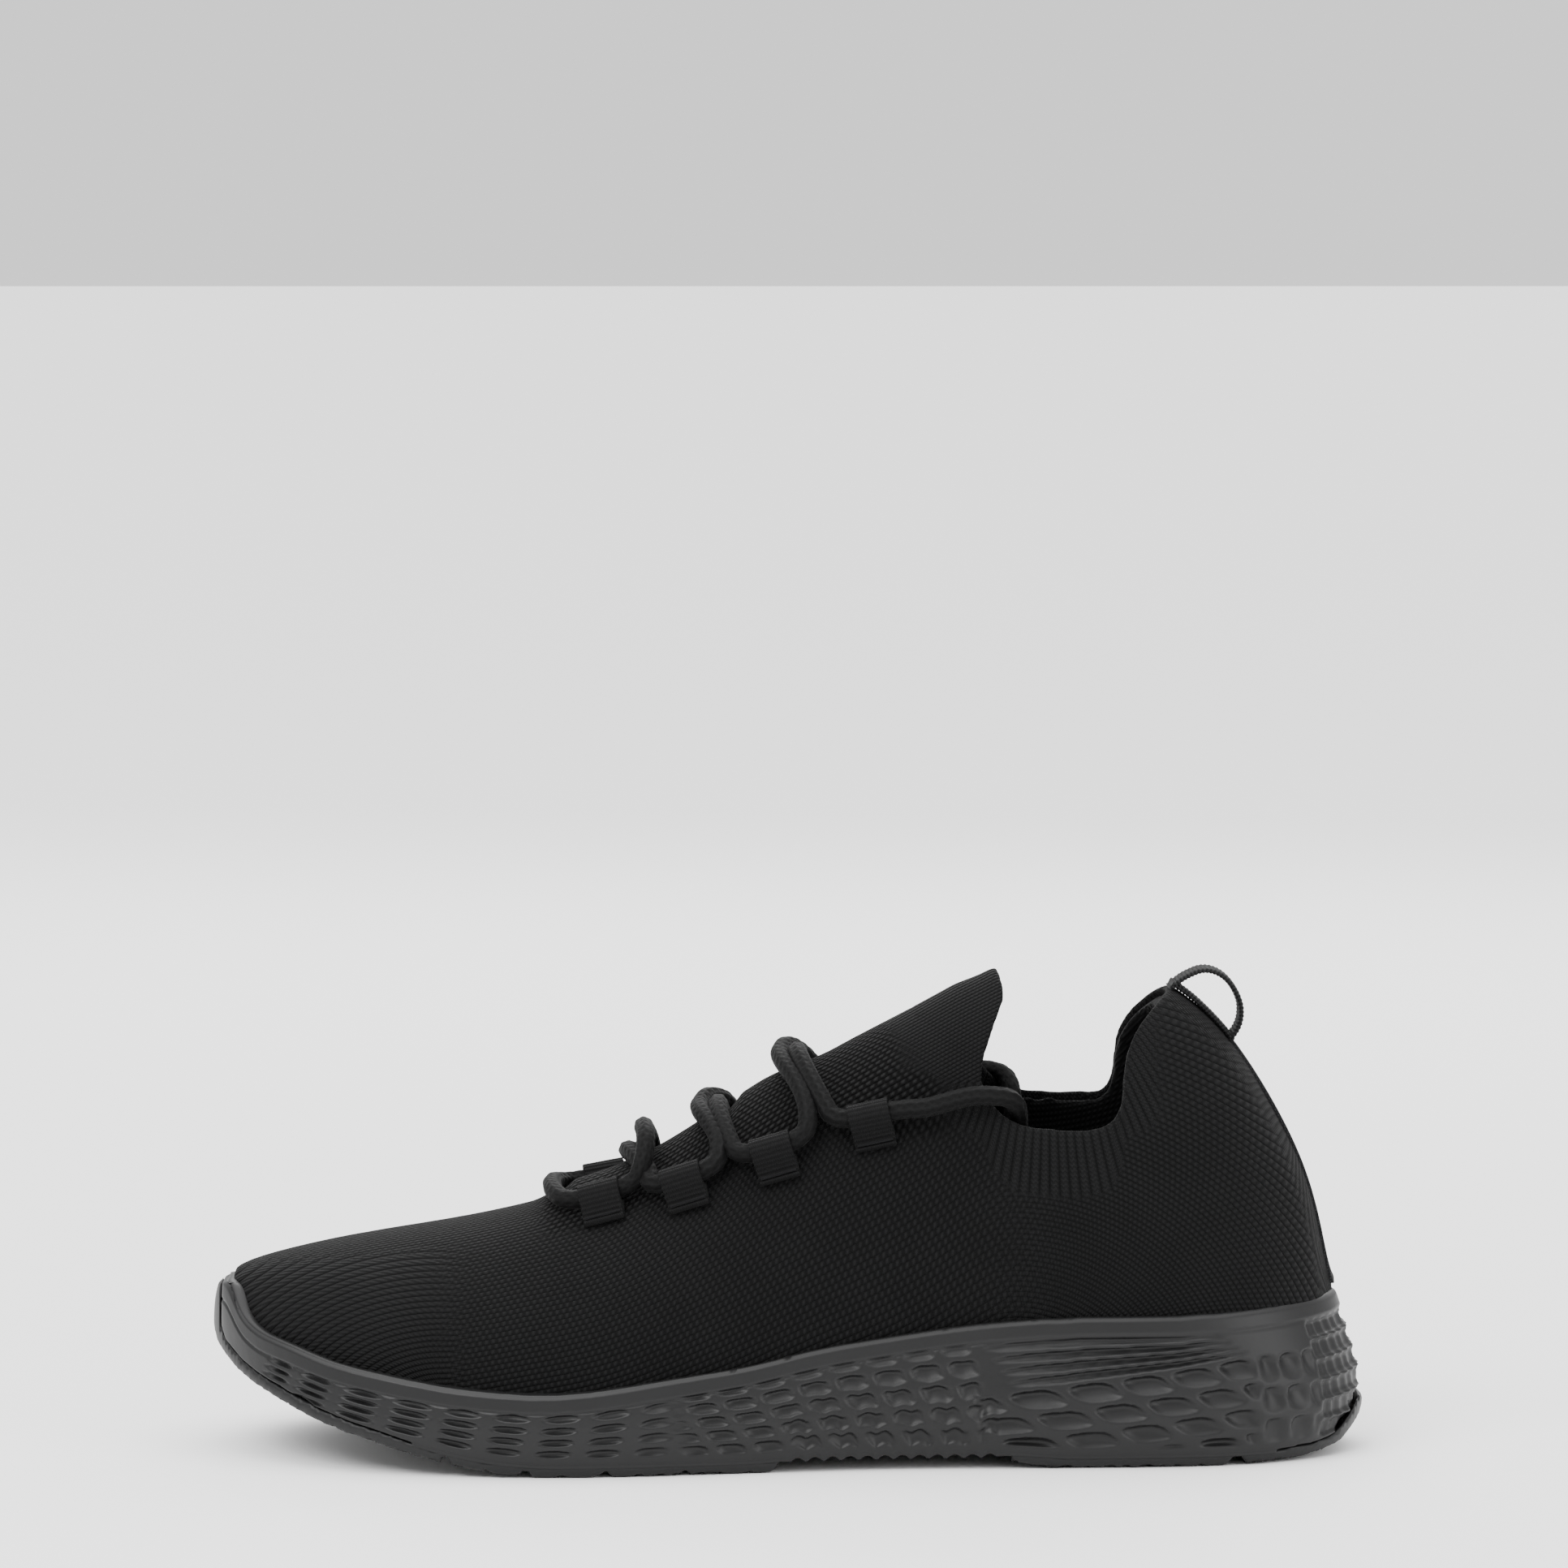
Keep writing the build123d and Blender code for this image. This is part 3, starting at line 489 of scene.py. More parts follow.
def stitch_lines(mesh, place):
    """Stores, for each zone of the knit, how far each point is across and along its rows.

    Gives the collar band's fan lines, the distance below its edge, and where it is."""
    x, y, z = place.T
    base, top, lateral, medial, ridge, power = (along_shoe(x, c) for c in range(1, 7))
    side = np.where(y > ridge, medial - ridge, ridge - lateral)
    sine = np.clip(np.abs(y - ridge) / side, 0, 1) ** (power / 2)
    turn = np.arctan2(sine, np.clip((z - base) / (top - base), 0, 1) ** (power / 2)) * np.sign(y - ridge)
    wale = turn * (top - base + side) * 0.55
    run = np.concatenate([[0], np.cumsum(np.hypot(np.diff(SECTIONS[:, 0]), np.diff(SECTIONS[:, 2])))])
    share = np.abs(turn) / (math.pi / 2)
    row = np.interp(x, SECTIONS[:, 0], run) * (1 - share) + (x - SECTIONS[0, 0]) * 1.05 * share
    set_value(mesh, "body_across", wale)
    set_value(mesh, "body_along", row)
    toe_x, toe_z = (x - TOE_CENTRE[0]) / TOE_STRETCH, z - TOE_CENTRE[1]
    toe_reach = np.hypot(toe_x, toe_z)
    set_value(mesh, "toe_across", toe_reach)
    set_value(mesh, "toe_along", np.arctan2(toe_x, toe_z) * 34.0 + y)
    heel_reach = np.hypot(x - HEEL_CENTRE[0], z - HEEL_CENTRE[1])
    set_value(mesh, "arc_across", heel_reach + 0.2 * np.abs(y))
    set_value(mesh, "arc_along", np.arctan2(x - HEEL_CENTRE[0], z - HEEL_CENTRE[1]) * 60.0)
    set_value(mesh, "tongue_across", z * 0.87 - x * 0.5 - np.abs(y) * 0.5)
    set_value(mesh, "tongue_along", x * 0.87 + z * 0.5)
    edge_x = np.clip(x, COLLAR[0, 0], COLLAR[-1, 0])
    below = np.interp(edge_x, COLLAR[:, 0], COLLAR[:, 1]) - z + np.abs(x - edge_x) * 0.5
    fan = np.arctan2(x - FAN_CENTRE[0], FAN_CENTRE[1] - z) * FAN_RADIUS
    set_value(mesh, "collar_across", fan)
    set_value(mesh, "collar_along", below)
    collar = (1 - ease(below, COLLAR_DEPTH - 2, COLLAR_DEPTH + 2)) * ease(x, 36, 44) * (1 - ease(x, 90, 98))
    tongue = ease(x + z * 0.9, 118, 130) * (1 - ease(np.abs(x - 40), 14, 22)) * ease(z, 94, 99)
    throat = (1 - ease(np.abs(y - 2.0), 20, 25)) * ease(x, -66, -58) * ease(z - base, 30, 38)
    throat *= 1 - ease(x, 24, 34)
    flank = ease(np.abs(turn), 0.5, 0.62) * (1 - ease(np.abs(turn), 0.86, 0.98))
    throat = np.maximum(throat, ease(x, 0, 12) * (1 - ease(x, 34, 44)) * flank * ease(z, 80, 86))
    heel = ease(x, 38, 82) * (1 - (1 - ease(np.abs(y), 7, 17)) * ease(x, 90, 104))
    toe = (1 - ease(x, -96, -74)) * (1 - ease(z - base - (top - base) * 0.86, 0, 4))
    set_value(mesh, "zone_toe", toe)
    set_value(mesh, "zone_arc", heel)
    set_value(mesh, "zone_collar", collar * (1 - tongue))
    set_value(mesh, "zone_mesh", throat * (1 - tongue) * (1 - collar))
    set_value(mesh, "zone_tongue", tongue)
    return fan, below, collar * (1 - tongue)


THROAT_LIFT = 2.8          # the knit swells between the crossings of the lace
FAR_RIM_LIFT = 3.4         # the inner side of the collar stands higher
TONGUE_FLARE = 2.2


def far_rim(place):
    """Height added to the inner side of the collar, next to the tongue."""
    x, y, z = place.T
    return FAR_RIM_LIFT * ease(y, 6, 20) * ease(z, 66, 88) * ease(x, 46, 52) * (1 - ease(x, 74, 88))


def throat_swell(place):
    """How far the knit stands out under the lacing, kept clear of the lace itself."""
    x, y, z = place.T
    top, ridge = along_shoe(x, 2), along_shoe(x, 5)
    wish = THROAT_LIFT * np.exp(-((y - ridge) / 17.0) ** 2) * ease(x, -66, -54) * (1 - ease(x, -8, 12))
    wish *= ease(z - top, -16, -10)
    line = even_points(spline_points(LACE_ROUTE), 0.8 * MM)[0] / MM
    near = KDTree(len(line))
    for index, point in enumerate(line):
        near.insert(point, index)
    near.balance()
    wanted = np.where(wish > 0.05)[0]
    for index in wanted:
        gap = near.find(place[index])[2] - LACE_RADIUS - 0.35
        wish[index] = min(wish[index], max(gap * 0.85, 0.0))
    return wish


def knit_upper():
    """One knitted skin over the upper and the tongue, which bends where the tongue folds."""
    upper = remeshed(["knit_upper", "tongue"], "knitted_upper", KNIT_VOXEL, KNIT, 14, close_fold)
    mesh = upper.data
    place = coordinates(mesh) / MM
    x, y, z = place.T.copy()
    flare = TONGUE_FLARE * np.exp(-((z - 118.5) / 5.5) ** 2) * ease(x, 42, 50) * (x < TONGUE_BACK)
    place[:, 0] += flare
    tip = np.hypot(place[:, 0] - TONGUE_TIP[0] - flare, place[:, 2] - TONGUE_TIP[1])
    place = relax(mesh, place, 0.5 * (1 - ease(tip, 1, 9)), 50)
    place[:, 2] += far_rim(place) + throat_swell(place)
    throat = (np.abs(y - 4) < 34) & (z > 55) & (x > -70) & (x < 16)
    place = relax(mesh, place, 0.5 * throat, 6)
    fan, below, collar = stitch_lines(mesh, place)
    x, y, z = place.T
    # ribs of the collar band stand out, and the knit swells softly between its seams
    ribs = np.abs(np.sin(math.pi * fan / RIB_PITCH)) ** 0.7
    swell = np.sin(x * 0.11 + z * 0.07) * np.sin(z * 0.13 - x * 0.05 + y * 0.04)
    lift = 0.34 * (ribs - 0.5) * collar * ease(below, 1.5, 4.0) + 0.16 * swell * ease(x, -90, -40)
    set_coordinates(mesh, (place + normals(mesh) * lift[:, None]) * MM)
    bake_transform(upper)
    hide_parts("knit_upper", "tongue")


def collar_lining():
    """The padded inside of the collar, with a soft edge under the knit's."""
    pad = remeshed(["collar_foam", "collar_lining"], "collar_padding", LINING_VOXEL, LINING, 12)
    place = coordinates(pad.data) / MM
    place[:, 2] += far_rim(place)
    set_coordinates(pad.data, place * MM)
    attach(pad, SHOE)
    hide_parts("collar_foam", "collar_lining")


knit_upper()
collar_lining()

# ---------------------------------------------------------------- lace
LACE_SIDES, DOME_RINGS = 28, 4
PLAITS, PLAIT_PITCH, PLAIT_RELIEF = 8, 2.9, 0.10
STRIPE_RELIEF = 0.09


def braided_cord(name, points, marks):
    """A braided round cord along points, closed by domed ends."""
    tangent = np.gradient(points, axis=0)
    tangent /= np.linalg.norm(tangent, axis=1)[:, None]
    side = np.cross(tangent[0], (0, 0, 1.0))
    side /= np.linalg.norm(side)
    rings, along, around = [], [], []
    last_index = len(points) - 1
    for i, (point, forward) in enumerate(zip(points, tangent)):
        side = side - forward * (side @ forward)
        side /= np.linalg.norm(side)
        up = np.cross(forward, side)
        mark = marks[i] / MM
        end = min(i, last_index - i)
        dome = math.sqrt(max(1 - (1 - min(end, DOME_RINGS) / DOME_RINGS) ** 2, 0.02))
        for j in range(LACE_SIDES):
            angle = 2 * math.pi * j / LACE_SIDES
            left = math.cos(PLAITS / 2 * angle + mark * 2 * math.pi / PLAIT_PITCH)
            right = math.cos(PLAITS / 2 * angle - mark * 2 * math.pi / PLAIT_PITCH)
            bulge = max(left, right) * PLAIT_RELIEF
            stripe = STRIPE_RELIEF * math.cos(LACE_STRIPES * angle)
            reach = (LACE_RADIUS - PLAIT_RELIEF * 0.6 - STRIPE_RELIEF + bulge + stripe) * dome * MM
            rings.append(point + side * math.cos(angle) * reach + up * math.sin(angle) * reach)
            along.append(mark)
            around.append(angle)
    faces = grid_faces(len(points), LACE_SIDES, close_columns=True)
    faces.append(tuple(range(LACE_SIDES))[::-1])
    faces.append(tuple(range(last_index * LACE_SIDES, (last_index + 1) * LACE_SIDES)))
    cord = link(name, rings, faces, BRAID)
    set_value(cord.data, "braid_along", along)
    set_value(cord.data, "braid_around", around)
    return cord


def lace():
    points, marks = even_points(spline_points(LACE_ROUTE), 0.55 * MM)
    cord = braided_cord("lace_braid", points, marks)
    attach(cord, SHOE)
    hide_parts("lace")


lace()

# ---------------------------------------------------------------- lace loops
LOOPS = [(-46.3, 25.0, 0.0), (-25.3, 33.5, 7.0), (-2.8, 38.5, 11.0), (21.5, 42.0, 10.0)]
EYE, EYE_UP, TAPE = 2.8, 1.9, 0.9
EYE_OUT = EYE + TAPE + 0.2
LOOP_WIDTH = 10.5
RIB, RIB_DEPTH = 1.25, 0.17
LOOP_STEP, LOOP_ROWS = 0.16, 30


def unit(vector):
    return vector / np.linalg.norm(vector)


def loop_frame(x, turn, lean):
    """Centre, up, out and along of a loop on the upper, as in the CAD."""
    along = skin(x + 1, turn) - skin(x - 1, turn)
    higher = -1 if turn > 0 else 1
    up = unit(skin(x, turn + higher) - skin(x, turn - higher))
    out = unit(np.cross(up, along))
    if out[2] < 0:
        out = -out
    across = np.cross(up, out)
    tilt = math.radians(-lean if across[0] > 0 else lean)
    up = up * math.cos(tilt) + across * math.sin(tilt)
    return skin(x, turn), up, out, np.cross(up, out)


def loop_outline():
    """The loop's outside, from the foot at the back, round the crown, to the foot in front."""
    outer = EYE + TAPE
    points = [(-5.6, 0.45), (-4.0, 0.3), (-2.0, 0.2), (0.0, EYE_OUT - outer)]
    for angle in range(-90, 126, 9):
        a = math.radians(angle)
        points.append((EYE_UP + outer * math.cos(a), EYE_OUT + outer * math.sin(a)))
    points += [(-1.6, 5.6), (-3.0, 3.6), (-4.0, 2.4), (-4.9, 1.95), (-5.6, 1.9), (-6.0, 1.5), (-6.0, 0.9)]
    return np.array(points)


def eye_outline(count):
    angles = np.radians(np.linspace(-90, 270, count, endpoint=False))
    return np.stack([EYE_UP + EYE * np.cos(angles), EYE_OUT + EYE * np.sin(angles)], 1)


def lace_loop(name, centre, up, out, along):
    """One grosgrain loop: ribs run along the lace, round the tape's outside."""
    shape = np.column_stack([loop_outline(), np.zeros(len(loop_outline()))]) * MM
    line, marks = even_points(np.vstack([shape, shape[:1]]), LOOP_STEP * MM)
    line, marks = line[:-1, :2] / MM, marks[:-1] / MM
    tangent = np.roll(line, -1, 0) - np.roll(line, 1, 0)
    outward = np.stack([tangent[:, 1], -tangent[:, 0]], 1)
    outward /= np.linalg.norm(outward, axis=1)[:, None]
    ribs = RIB_DEPTH * (np.sqrt(0.5 + 0.5 * np.cos(2 * math.pi * marks / RIB)) - 0.5)
    count = len(line)
    hole = eye_outline(count)
    nearest = np.array([hole[np.argmin(np.linalg.norm(hole - p, axis=1))] for p in line])
    widths = np.linspace(-LOOP_WIDTH / 2, LOOP_WIDTH / 2, LOOP_ROWS)
    points, tape_along, tape_across = [], [], []
    for width in widths:
        edge = 1 - abs(width) / (LOOP_WIDTH / 2)
        soft = min(1.0, 0.55 + edge * 6)
        bead = 0.03 * math.sin(2 * math.pi * width / 0.7)
        for p, n, rib, mark in zip(line, outward, ribs, marks):
            q = p + n * (rib * soft + bead - 0.08 * (1 - soft))
            points.append((centre + up * q[0] + out * q[1] + along * width) * MM)
            tape_along.append(mark)
            tape_across.append(width)
    for width in widths[[0, -1]]:
        for p in nearest:
            points.append((centre + up * p[0] + out * p[1] + along * width) * MM)
            tape_along.append(0.0)
            tape_across.append(width)
    faces = grid_faces(len(widths), count, close_columns=True)
    first, last_row = len(widths) * count, (len(widths) + 1) * count
    end = (len(widths) - 1) * count
    for j in range(count):
        k = (j + 1) % count
        faces.append((k, j, first + j, first + k))
        faces.append((end + j, end + k, last_row + k, last_row + j))
        faces.append((first + k, first + j, last_row + j, last_row + k))
    loop = link(name, points, faces, GROSGRAIN, SHOE)
    set_value(loop.data, "tape_along", tape_along)
    set_value(loop.data, "tape_across", tape_across)
    use_modifier(loop, "WELD", merge_threshold=0.005 * MM)
    return loop


for side, side_name in ((-1, "lateral"), (1, "medial")):
    for number, (x, turn, lean) in enumerate(LOOPS, start=1):
        node = f"lace_loop_{side_name}_{number}"
        piece = lace_loop(f"grosgrain_loop_{side_name}_{number}", *loop_frame(x, side * turn, lean))
        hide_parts(node)

# ---------------------------------------------------------------- midsole
MIDSOLE_TREE = BVHTree.FromObject(NODES["midsole"], bpy.context.evaluated_depsgraph_get())
CORE_INSET = 2.6
UNDERLAP = 1.1             # the sidewall goes on this far below the foam's own lower edge
SPINE = (-92.0, 96.0)      # straight part of the middle line; the ends are fans
SPINE_Y = (4.0, 0.0)
ROWS = 84
STEP, TOE_TURN, HEEL_TURN = 0.55, 0.9, 1.1
SIDE_LEVELS = (14.0, 24.0, 32.0)
CELL_DEPTH, CELLS_FROM, PLAIN_HEIGHT = 1.9, 1.2, 6.6
PARTING_LINE, PARTING_DEPTH = 4.6, 0.35
LIP_ROUNDING, LIP_HEIGHT = 0.9, 1.4
WAIST, RIPPLES, RIPPLE = (0.0, 53.0), 12, 1.3


def perimeter():
    """Rays round the sole: centre, direction, and the distance t along the side from toe to heel."""
    rays = []
    for side in (-1, 1):
        for angle in np.arange(0, 90, TOE_TURN):
            a = math.radians(angle)
            rays.append((side, SPINE[0], SPINE_Y[0], -math.cos(a), side * math.sin(a)))
        for x in np.arange(SPINE[0], SPINE[1], STEP):
            y = np.interp(x, SPINE, SPINE_Y)
            rays.append((side, x, y, 0.0, float(side)))
        for angle in np.arange(0, 90.01, HEEL_TURN):
            a = math.radians(angle)
            rays.append((side, SPINE[1], SPINE_Y[1], math.sin(a), side * math.cos(a)))
    lateral = [ray for ray in rays if ray[0] < 0]
    medial = [ray for ray in rays if ray[0] > 0]
    return lateral + medial[::-1][1:-1]


def hit(ray, z):
    """Distance from the ray's centre to the midsole's outside at height z, or None."""
    _, x, y, dx, dy = ray
    far = 120.0
    start = Vector(((x + dx * far) * MM, (y + dy * far) * MM, z * MM))
    place, _, _, distance = MIDSOLE_TREE.ray_cast(start, Vector((-dx, -dy, 0)), far * MM)
    if place is None:
        return None
    return far - distance / MM


def cell(u, w, wide, tall, power):
    """A soft-edged pit in a unit cell, deepest towards its top."""
    distance = (np.abs(2 * u - 1) / wide) ** power + (np.abs(2 * w - 1) / tall) ** power
    return np.clip(1 - distance, 0, 1) ** 0.6 * (0.25 + 0.75 * w)


def relief(t, v):
    """Depth of the moulded pattern, 0 to 1, at t along the side (mm) and v up it (0 to 1)."""
    # short lens-shaped cuts in upright columns, from the toe to the middle
    column = (t + 140 - 3.0 * v) / 12.4
    lens = cell(column % 1, (v * 4) % 1, 0.74, 0.66, 2.2)
    # square cells that lean back, in the waist
    column = (t + 140 + 11.0 * v) / 9.4
    square = cell(column % 1, (v * 4.6) % 1, 0.80, 0.76, 3.2)
    # long grooves that taper to the rear, over large slanted cells
    fan_low = np.interp(t, (50, 116), (0.50, 0.78))
    height = np.clip((v - fan_low) / (0.99 - fan_low), 0, 0.999)
    tip = (1 - height) * 9.0
    length = np.clip((t - 47 - tip) / 63.0, 0, 1)
    long_cut = cell(length, (height * 4) % 1, 0.97, 0.78, 3.0) * (v > fan_low)
    under = (fan_low - v) / 0.21
    column = (t - 52 - 7.0 * under) / 16.0 * (1 + 0.0035 * (t - 52))
    large = cell(column % 1, 1 - under % 1, 0.82, 0.80, 3.0) * (v < fan_low)
    # rounded cells, then small squares round the heel
    column = (t + 4.0 * v) / 8.6
    rounded = 1.2 * cell(column % 1, (v * 3.8) % 1, 0.86, 0.86, 2.6) * (1 - ease(v, 0.74, 0.8))
    square_pit = np.abs(2 * ((t / 5.0) % 1) - 1) ** 4 + np.abs(2 * ((v * 6) % 1) - 1) ** 4
    small = np.clip(1 - square_pit, 0, 1) ** 0.6
    depth = lens * (1 - ease(t, -36, -24)) * ease(t, -139, -131)
    depth += square * ease(t, -32, -22) * (1 - ease(t, 49 - 4 * v, 52 - 4 * v))
    depth += (long_cut + 1.3 * large) * ease(t, 48 - 4 * v, 51 - 4 * v) * (1 - ease(t, 117, 120))
    depth += rounded * ease(t, 119, 123) * (1 - ease(t, 138, 141))
    depth += 0.8 * small * ease(t, 140, 143)
    return depth


def side_distance(rays):
    """t of each ray: x on the straight part, and the way round the outline beyond it."""
    reach = np.array([max(hit(ray, z) or 0 for z in SIDE_LEVELS) for ray in rays])
    place = np.array([(r[1] + r[3] * d, r[2] + r[4] * d) for r, d in zip(rays, reach)])
    t = np.array([r[1] for r in rays])
    for index, ray in enumerate(rays):
        if ray[3] == 0:
            continue
        edge = SPINE[0] if ray[3] < 0 else SPINE[1]
        centre = np.array([ray[1], ray[2]])
        radius = np.linalg.norm(place[index] - centre)
        angle = math.atan2(abs(ray[3]), abs(ray[4]))
        t[index] = edge + math.copysign(angle * radius * 0.93, ray[3])
    return t


def ring_mean(values, reach):
    """The mean of each value of a closed ring and its neighbours."""
    padded = np.concatenate([values[-reach:], values, values[:reach]])
    size = 2 * reach + 1
    return np.convolve(padded, np.ones(size) / size, "valid")


def midsole():
    """The moulded sidewall as a new surface, and the CAD's foam, drawn in, as its core."""
    rays = perimeter()
    t = side_distance(rays)
    levels = np.arange(0.6, 46, 0.35)
    low_edge, high_edge, reaches = [], [], []
    for ray in rays:
        distances = np.array([hit(ray, z) or -1.0 for z in levels])
        widest = distances.max()
        outside = distances > widest - 9.0
        low_edge.append(levels[outside].min() - UNDERLAP)
        high_edge.append(levels[outside].max() + 0.3)
        reaches.append((levels[outside], distances[outside]))
    low_edge, high_edge = ring_mean(ring_mean(low_edge, 10), 10), ring_mean(high_edge, 4)
    v = np.linspace(0, 1, ROWS)
    surface = np.empty((len(rays), ROWS, 3))
    for i, ray in enumerate(rays):
        low = low_edge[i]
        if ray[3] == 0 and WAIST[0] < ray[1] < WAIST[1]:
            tooth = abs(math.sin(math.pi * RIPPLES * (ray[1] - WAIST[0]) / (WAIST[1] - WAIST[0])))
            low += RIPPLE * tooth - RIPPLE / 2
        z = low + (high_edge[i] - low) * v
        reach = np.interp(z, *reaches[i])
        from_top, from_bottom = high_edge[i] - z, z - low
        band = (z - low - UNDERLAP - CELLS_FROM) / max(high_edge[i] - low - PLAIN_HEIGHT, 1)
        inside = ease(band, 0.0, 0.05) * (1 - ease(band, 0.95, 1.0))
        depth = CELL_DEPTH * relief(np.full(ROWS, t[i]), np.clip(band, 0, 0.999)) * inside
        depth += PARTING_DEPTH * np.exp(-((from_top - PARTING_LINE) / PARTING_DEPTH) ** 2)
        depth += 0.25 * (1 - ease(from_bottom, UNDERLAP - 0.3, UNDERLAP + 0.1))
        depth += LIP_ROUNDING * (1 - ease(from_top, 0.0, LIP_HEIGHT)) ** 2
        reach = reach - depth
        surface[i] = np.stack([ray[1] + ray[3] * reach, ray[2] + ray[4] * reach, z], 1)
    smooth = (np.roll(surface, 1, 0) + np.roll(surface, -1, 0)) / 2
    surface = surface * 0.6 + smooth * 0.4
    inward = np.array([(-r[3], -r[4], 0.0) for r in rays])
    lip = surface[:, -1] + inward * 1.2 + (0, 0, 0.15)
    tuck = surface[:, -1] + inward * 5.5 - (0, 0, 1.2)
    under = surface[:, 0] + inward * 1.0 - (0, 0, 0.1)
    deep = surface[:, 0] + inward * 6.0 + (0, 0, 0.8)
    columns = [deep[:, None], under[:, None], surface, lip[:, None], tuck[:, None]]
    whole = np.concatenate(columns, 1)
    rows, count = whole.shape[:2]
    faces = grid_faces(rows, count, close_rows=True)
    for i in range(rows):
        start, next_start = i * count, ((i + 1) % rows) * count
        faces.append((start, next_start, next_start + count - 1, start + count - 1))
    side = link("midsole_sidewall", whole.reshape(-1, 3) * MM, faces, FOAM, SHOE)

    core = copy_of(["midsole"], "midsole_core")
    use_modifier(core, "WELD", merge_threshold=0.01 * MM)
    place, out = coordinates(core.data) / MM, normals(core.data)
    spine_x = np.clip(place[:, 0], *SPINE)
    away = place[:, :2] - np.stack([spine_x, np.interp(spine_x, SPINE, SPINE_Y)], 1)
    away /= np.maximum(np.linalg.norm(away, axis=1), 1e-6)[:, None]
    outward = (out[:, :2] * away).sum(1) > 0.25
    place[outward, :2] -= away[outward] * CORE_INSET
    set_coordinates(core.data, place * MM)
    core.data.materials.clear()
    core.data.materials.append(FOAM)
    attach(core, SHOE)
    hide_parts("midsole")


midsole()


# ---------------------------------------------------------------- outsole tread
RUBBER_VOXEL = 0.9
TREAD_PITCH, TREAD_DEPTH = 9.5, 1.1


def tread(x, y):
    """Depth of the tread grooves, 0 to 1: three sets of parallel grooves, 60 degrees apart."""
    directions = (x, x * 0.5 + y * 0.866, -x * 0.5 + y * 0.866)
    lines = [np.abs((value / TREAD_PITCH % 1) - 0.5) * 2 for value in directions]
    return np.maximum.reduce([ease(line, 0.80, 0.92) for line in lines])


def outsole(node, name):
    piece = remeshed([node], name, RUBBER_VOXEL, RUBBER, 2)
    mesh = piece.data
    place, out = coordinates(mesh) / MM, normals(mesh)
    facing = ease(-out[:, 2], 0.75, 0.9)
    depth = TREAD_DEPTH * tread(place[:, 0], place[:, 1]) * facing
    place[:, 2] += depth
    place[:, 2] = np.maximum(place[:, 2], 0.0)
    set_coordinates(mesh, place * MM)
    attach(piece, SHOE)
    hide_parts(node)


outsole("outsole_forefoot", "outsole_forefoot_rubber")
outsole("outsole_heel", "outsole_heel_rubber")

# ---------------------------------------------------------------- pull tab and heel webbing
WEB, WEB_WIDTH = 1.3, 12.0
WEB_RIB, WEB_RIB_PITCH = 0.10, 1.0
WEB_STEP, WEB_POINTS = 0.2, 25
WEB_LIFT = 0.75            # the sewn webbing's middle lies this far above the knit
PULL_ROUTE = [(97.8, 117.9), (99.3, 119.3), (101.9, 121.2), (107.0, 123.3), (112.4, 121.1), (116.1, 115.0),
              (116.2, 109.9), (114.6, 106.5), (113.2, 105.0)]


def ribbon(name, line):
    """A flat band of webbing along a side-view line in millimetres, with cross ribs on both faces."""
    points3 = np.column_stack([line[:, 0], np.zeros(len(line)), line[:, 1]]) * MM
    points3, marks = even_points(points3, WEB_STEP * MM)
    line, marks = points3[:, [0, 2]] / MM, marks / MM
    tangent = np.gradient(line, axis=0)
    tangent /= np.linalg.norm(tangent, axis=1)[:, None]
    out = np.stack([-tangent[:, 1], tangent[:, 0]], 1)
    across = np.linspace(-1, 1, WEB_POINTS)
    points, tape_along, tape_across = [], [], []
    for p, n, mark in zip(line, out, marks):
        rib = WEB_RIB * math.cos(2 * math.pi * mark / WEB_RIB_PITCH)
        top = [(a, WEB / 2 * (1 - abs(a) ** 12 * 0.8) + rib) for a in across]
        under = [(a, -w) for a, w in reversed(top)]
        for a, w in top + under:
            q = p + n * w
            points.append((q[0] * MM, a * WEB_WIDTH / 2 * MM, q[1] * MM))
            tape_along.append(mark)
            tape_across.append(a * WEB_WIDTH / 2)
    count = 2 * WEB_POINTS
    faces = grid_faces(len(line), count, close_columns=True)
    faces.append(tuple(range(count)))
    faces.append(tuple(range((len(line) - 1) * count, len(line) * count))[::-1])
    band = link(name, points, faces, WEBBING)
    set_value(band.data, "tape_along", tape_along)
    set_value(band.data, "tape_across", tape_across)
    return band


def pull_tab():
    route = [(x, 0.0, z) for x, z in PULL_ROUTE]
    line = spline_points(route)[:, [0, 2]] / MM
    band = ribbon("pull_tab_loop", line)
    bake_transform(band)
    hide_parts("pull_tab")


def heel_webbing():
    """The sewn webbing lies on the heel between the ends of the loop."""
    xs = np.arange(98.0, 113.6, 0.5)
    ridge = along_shoe(xs, 2)
    steep = np.gradient(ridge, xs)
    size = np.hypot(steep, 1)
    line = np.stack([xs - steep / size * WEB_LIFT, ridge + WEB_LIFT / size], 1)
    band = ribbon("heel_webbing_strip", line)
    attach(band, SHOE)
    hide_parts("heel_webbing")


pull_tab()
heel_webbing()

# ---------------------------------------------------------------- finishes of the CAD nodes that stay
FINISHES = {
    "heel_seam_tape": SEAM_TAPE, "loop_stitches": THREAD, "sockliner_cloth": INSOLE,
    "sockliner_foam": INSIDE, "strobel_board": INSIDE, "heel_counter": INSIDE, "toe_puff": INSIDE,
    "eyestay_tape_lateral": LINING, "eyestay_tape_medial": LINING,
    "lace_tip_1": PLASTIC, "lace_tip_2": PLASTIC,
}
for node, material in FINISHES.items():
    NODES[node].data.materials.clear()
    NODES[node].data.materials.append(material)

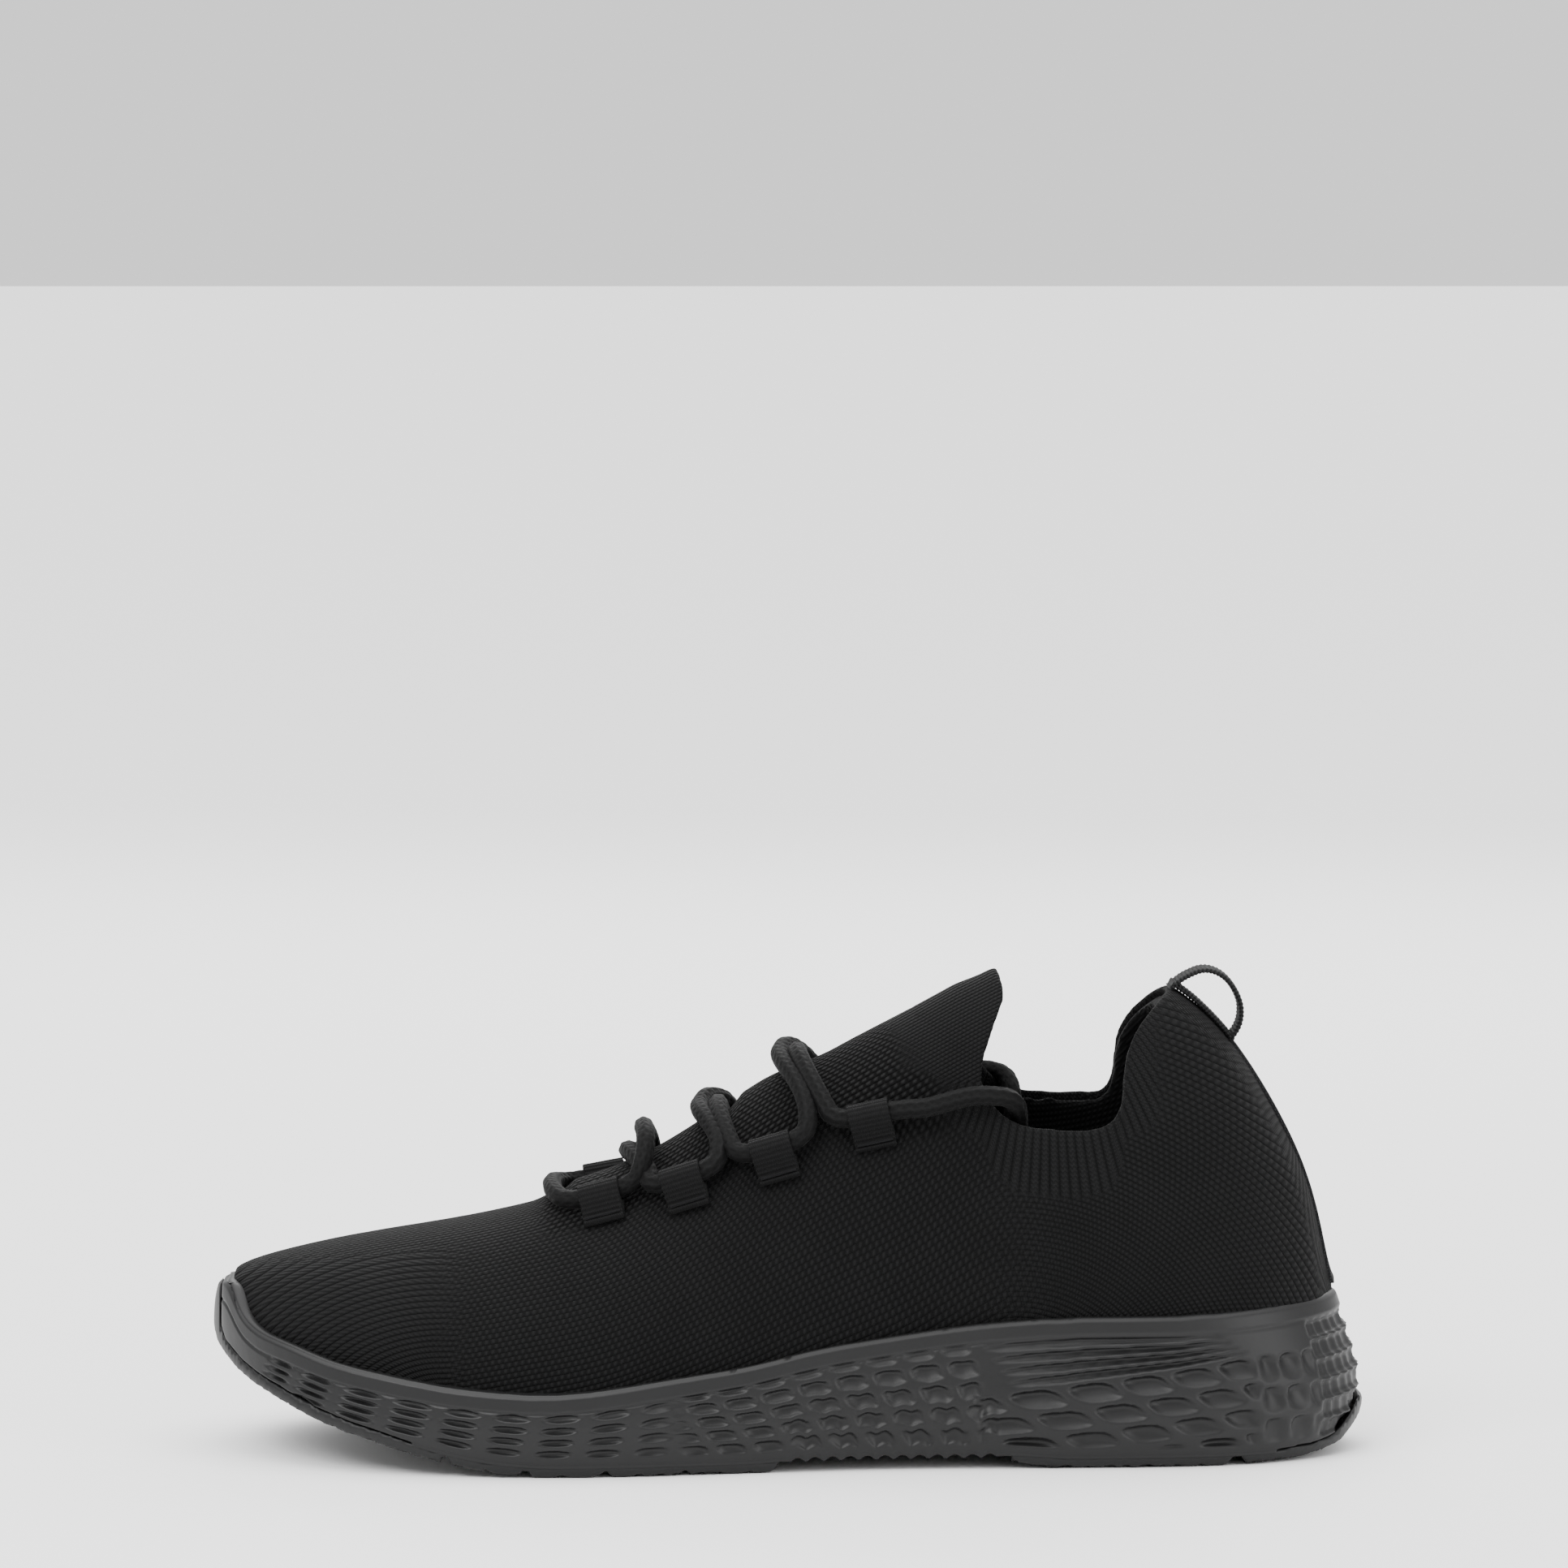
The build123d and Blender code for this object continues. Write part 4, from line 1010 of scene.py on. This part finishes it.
# ---------------------------------------------------------------- floor, light and camera
FLOOR_SIZE, FLOOR_DROP = 40.0, 0.0002
FLOOR_CORNERS = [(x * FLOOR_SIZE, y * FLOOR_SIZE, -FLOOR_DROP)
                 for x, y in ((-1, -1), (1, -1), (1, 1), (-1, 1))]
PALE = Nodes("pale_floor", (0.94, 0.94, 0.94), 0.8, specular=0.2).material
floor = link("floor", FLOOR_CORNERS, [(0, 1, 2, 3)], PALE)

world = bpy.data.worlds.new("studio")
bpy.context.scene.world = world
world.use_nodes = True
world.node_tree.nodes["Background"].inputs["Color"].default_value = (1, 1, 1, 1)
world.node_tree.nodes["Background"].inputs["Strength"].default_value = 1.15


def softbox(name, place, aim, size, power):
    light = bpy.data.lights.new(name, "AREA")
    light.shape = "RECTANGLE"
    light.size, light.size_y = size
    light.energy = power
    obj = bpy.data.objects.new(name, light)
    bpy.context.scene.collection.objects.link(obj)
    obj.location = place
    obj.rotation_euler = (Vector(aim) - Vector(place)).to_track_quat("-Z", "Y").to_euler()


AIM = (0.0, 0.0, 0.05)
softbox("key", (-0.9, -1.2, 1.5), AIM, (1.4, 0.9), 34)
softbox("side", (1.4, -1.0, 0.6), AIM, (0.9, 0.9), 12)
softbox("rim", (0.2, 1.4, 0.9), AIM, (1.6, 0.6), 12)
sun = bpy.data.lights.new("even_light", "SUN")
sun.energy = 3.2
sun.angle = math.radians(70)
bpy.context.scene.collection.objects.link(bpy.data.objects.new("even_light", sun))

CAMERA_DISTANCE = 1.8
ELEVATION = math.radians(8)
YAW = math.radians(0.5)
FRAME_WIDTH = 0.4036       # width of the view at the shoe
CAMERA_AIM = (-0.0007, 0.0153, 0.1691)
SHOE_MIDDLE = (0.0, 0.0, 0.060)
SENSOR = 36
camera_data = bpy.data.cameras.new("camera")
camera_data.sensor_width = SENSOR
camera_data.lens = SENSOR * CAMERA_DISTANCE / FRAME_WIDTH
camera = bpy.data.objects.new("camera", camera_data)
bpy.context.scene.collection.objects.link(camera)
level = math.cos(ELEVATION)
back = Vector((-math.sin(YAW) * level, -math.cos(YAW) * level, math.sin(ELEVATION)))
camera.location = Vector(SHOE_MIDDLE) + back * CAMERA_DISTANCE
gaze = Vector(CAMERA_AIM) - camera.location
camera.rotation_euler = gaze.to_track_quat("-Z", "Y").to_euler()
bpy.context.scene.camera = camera
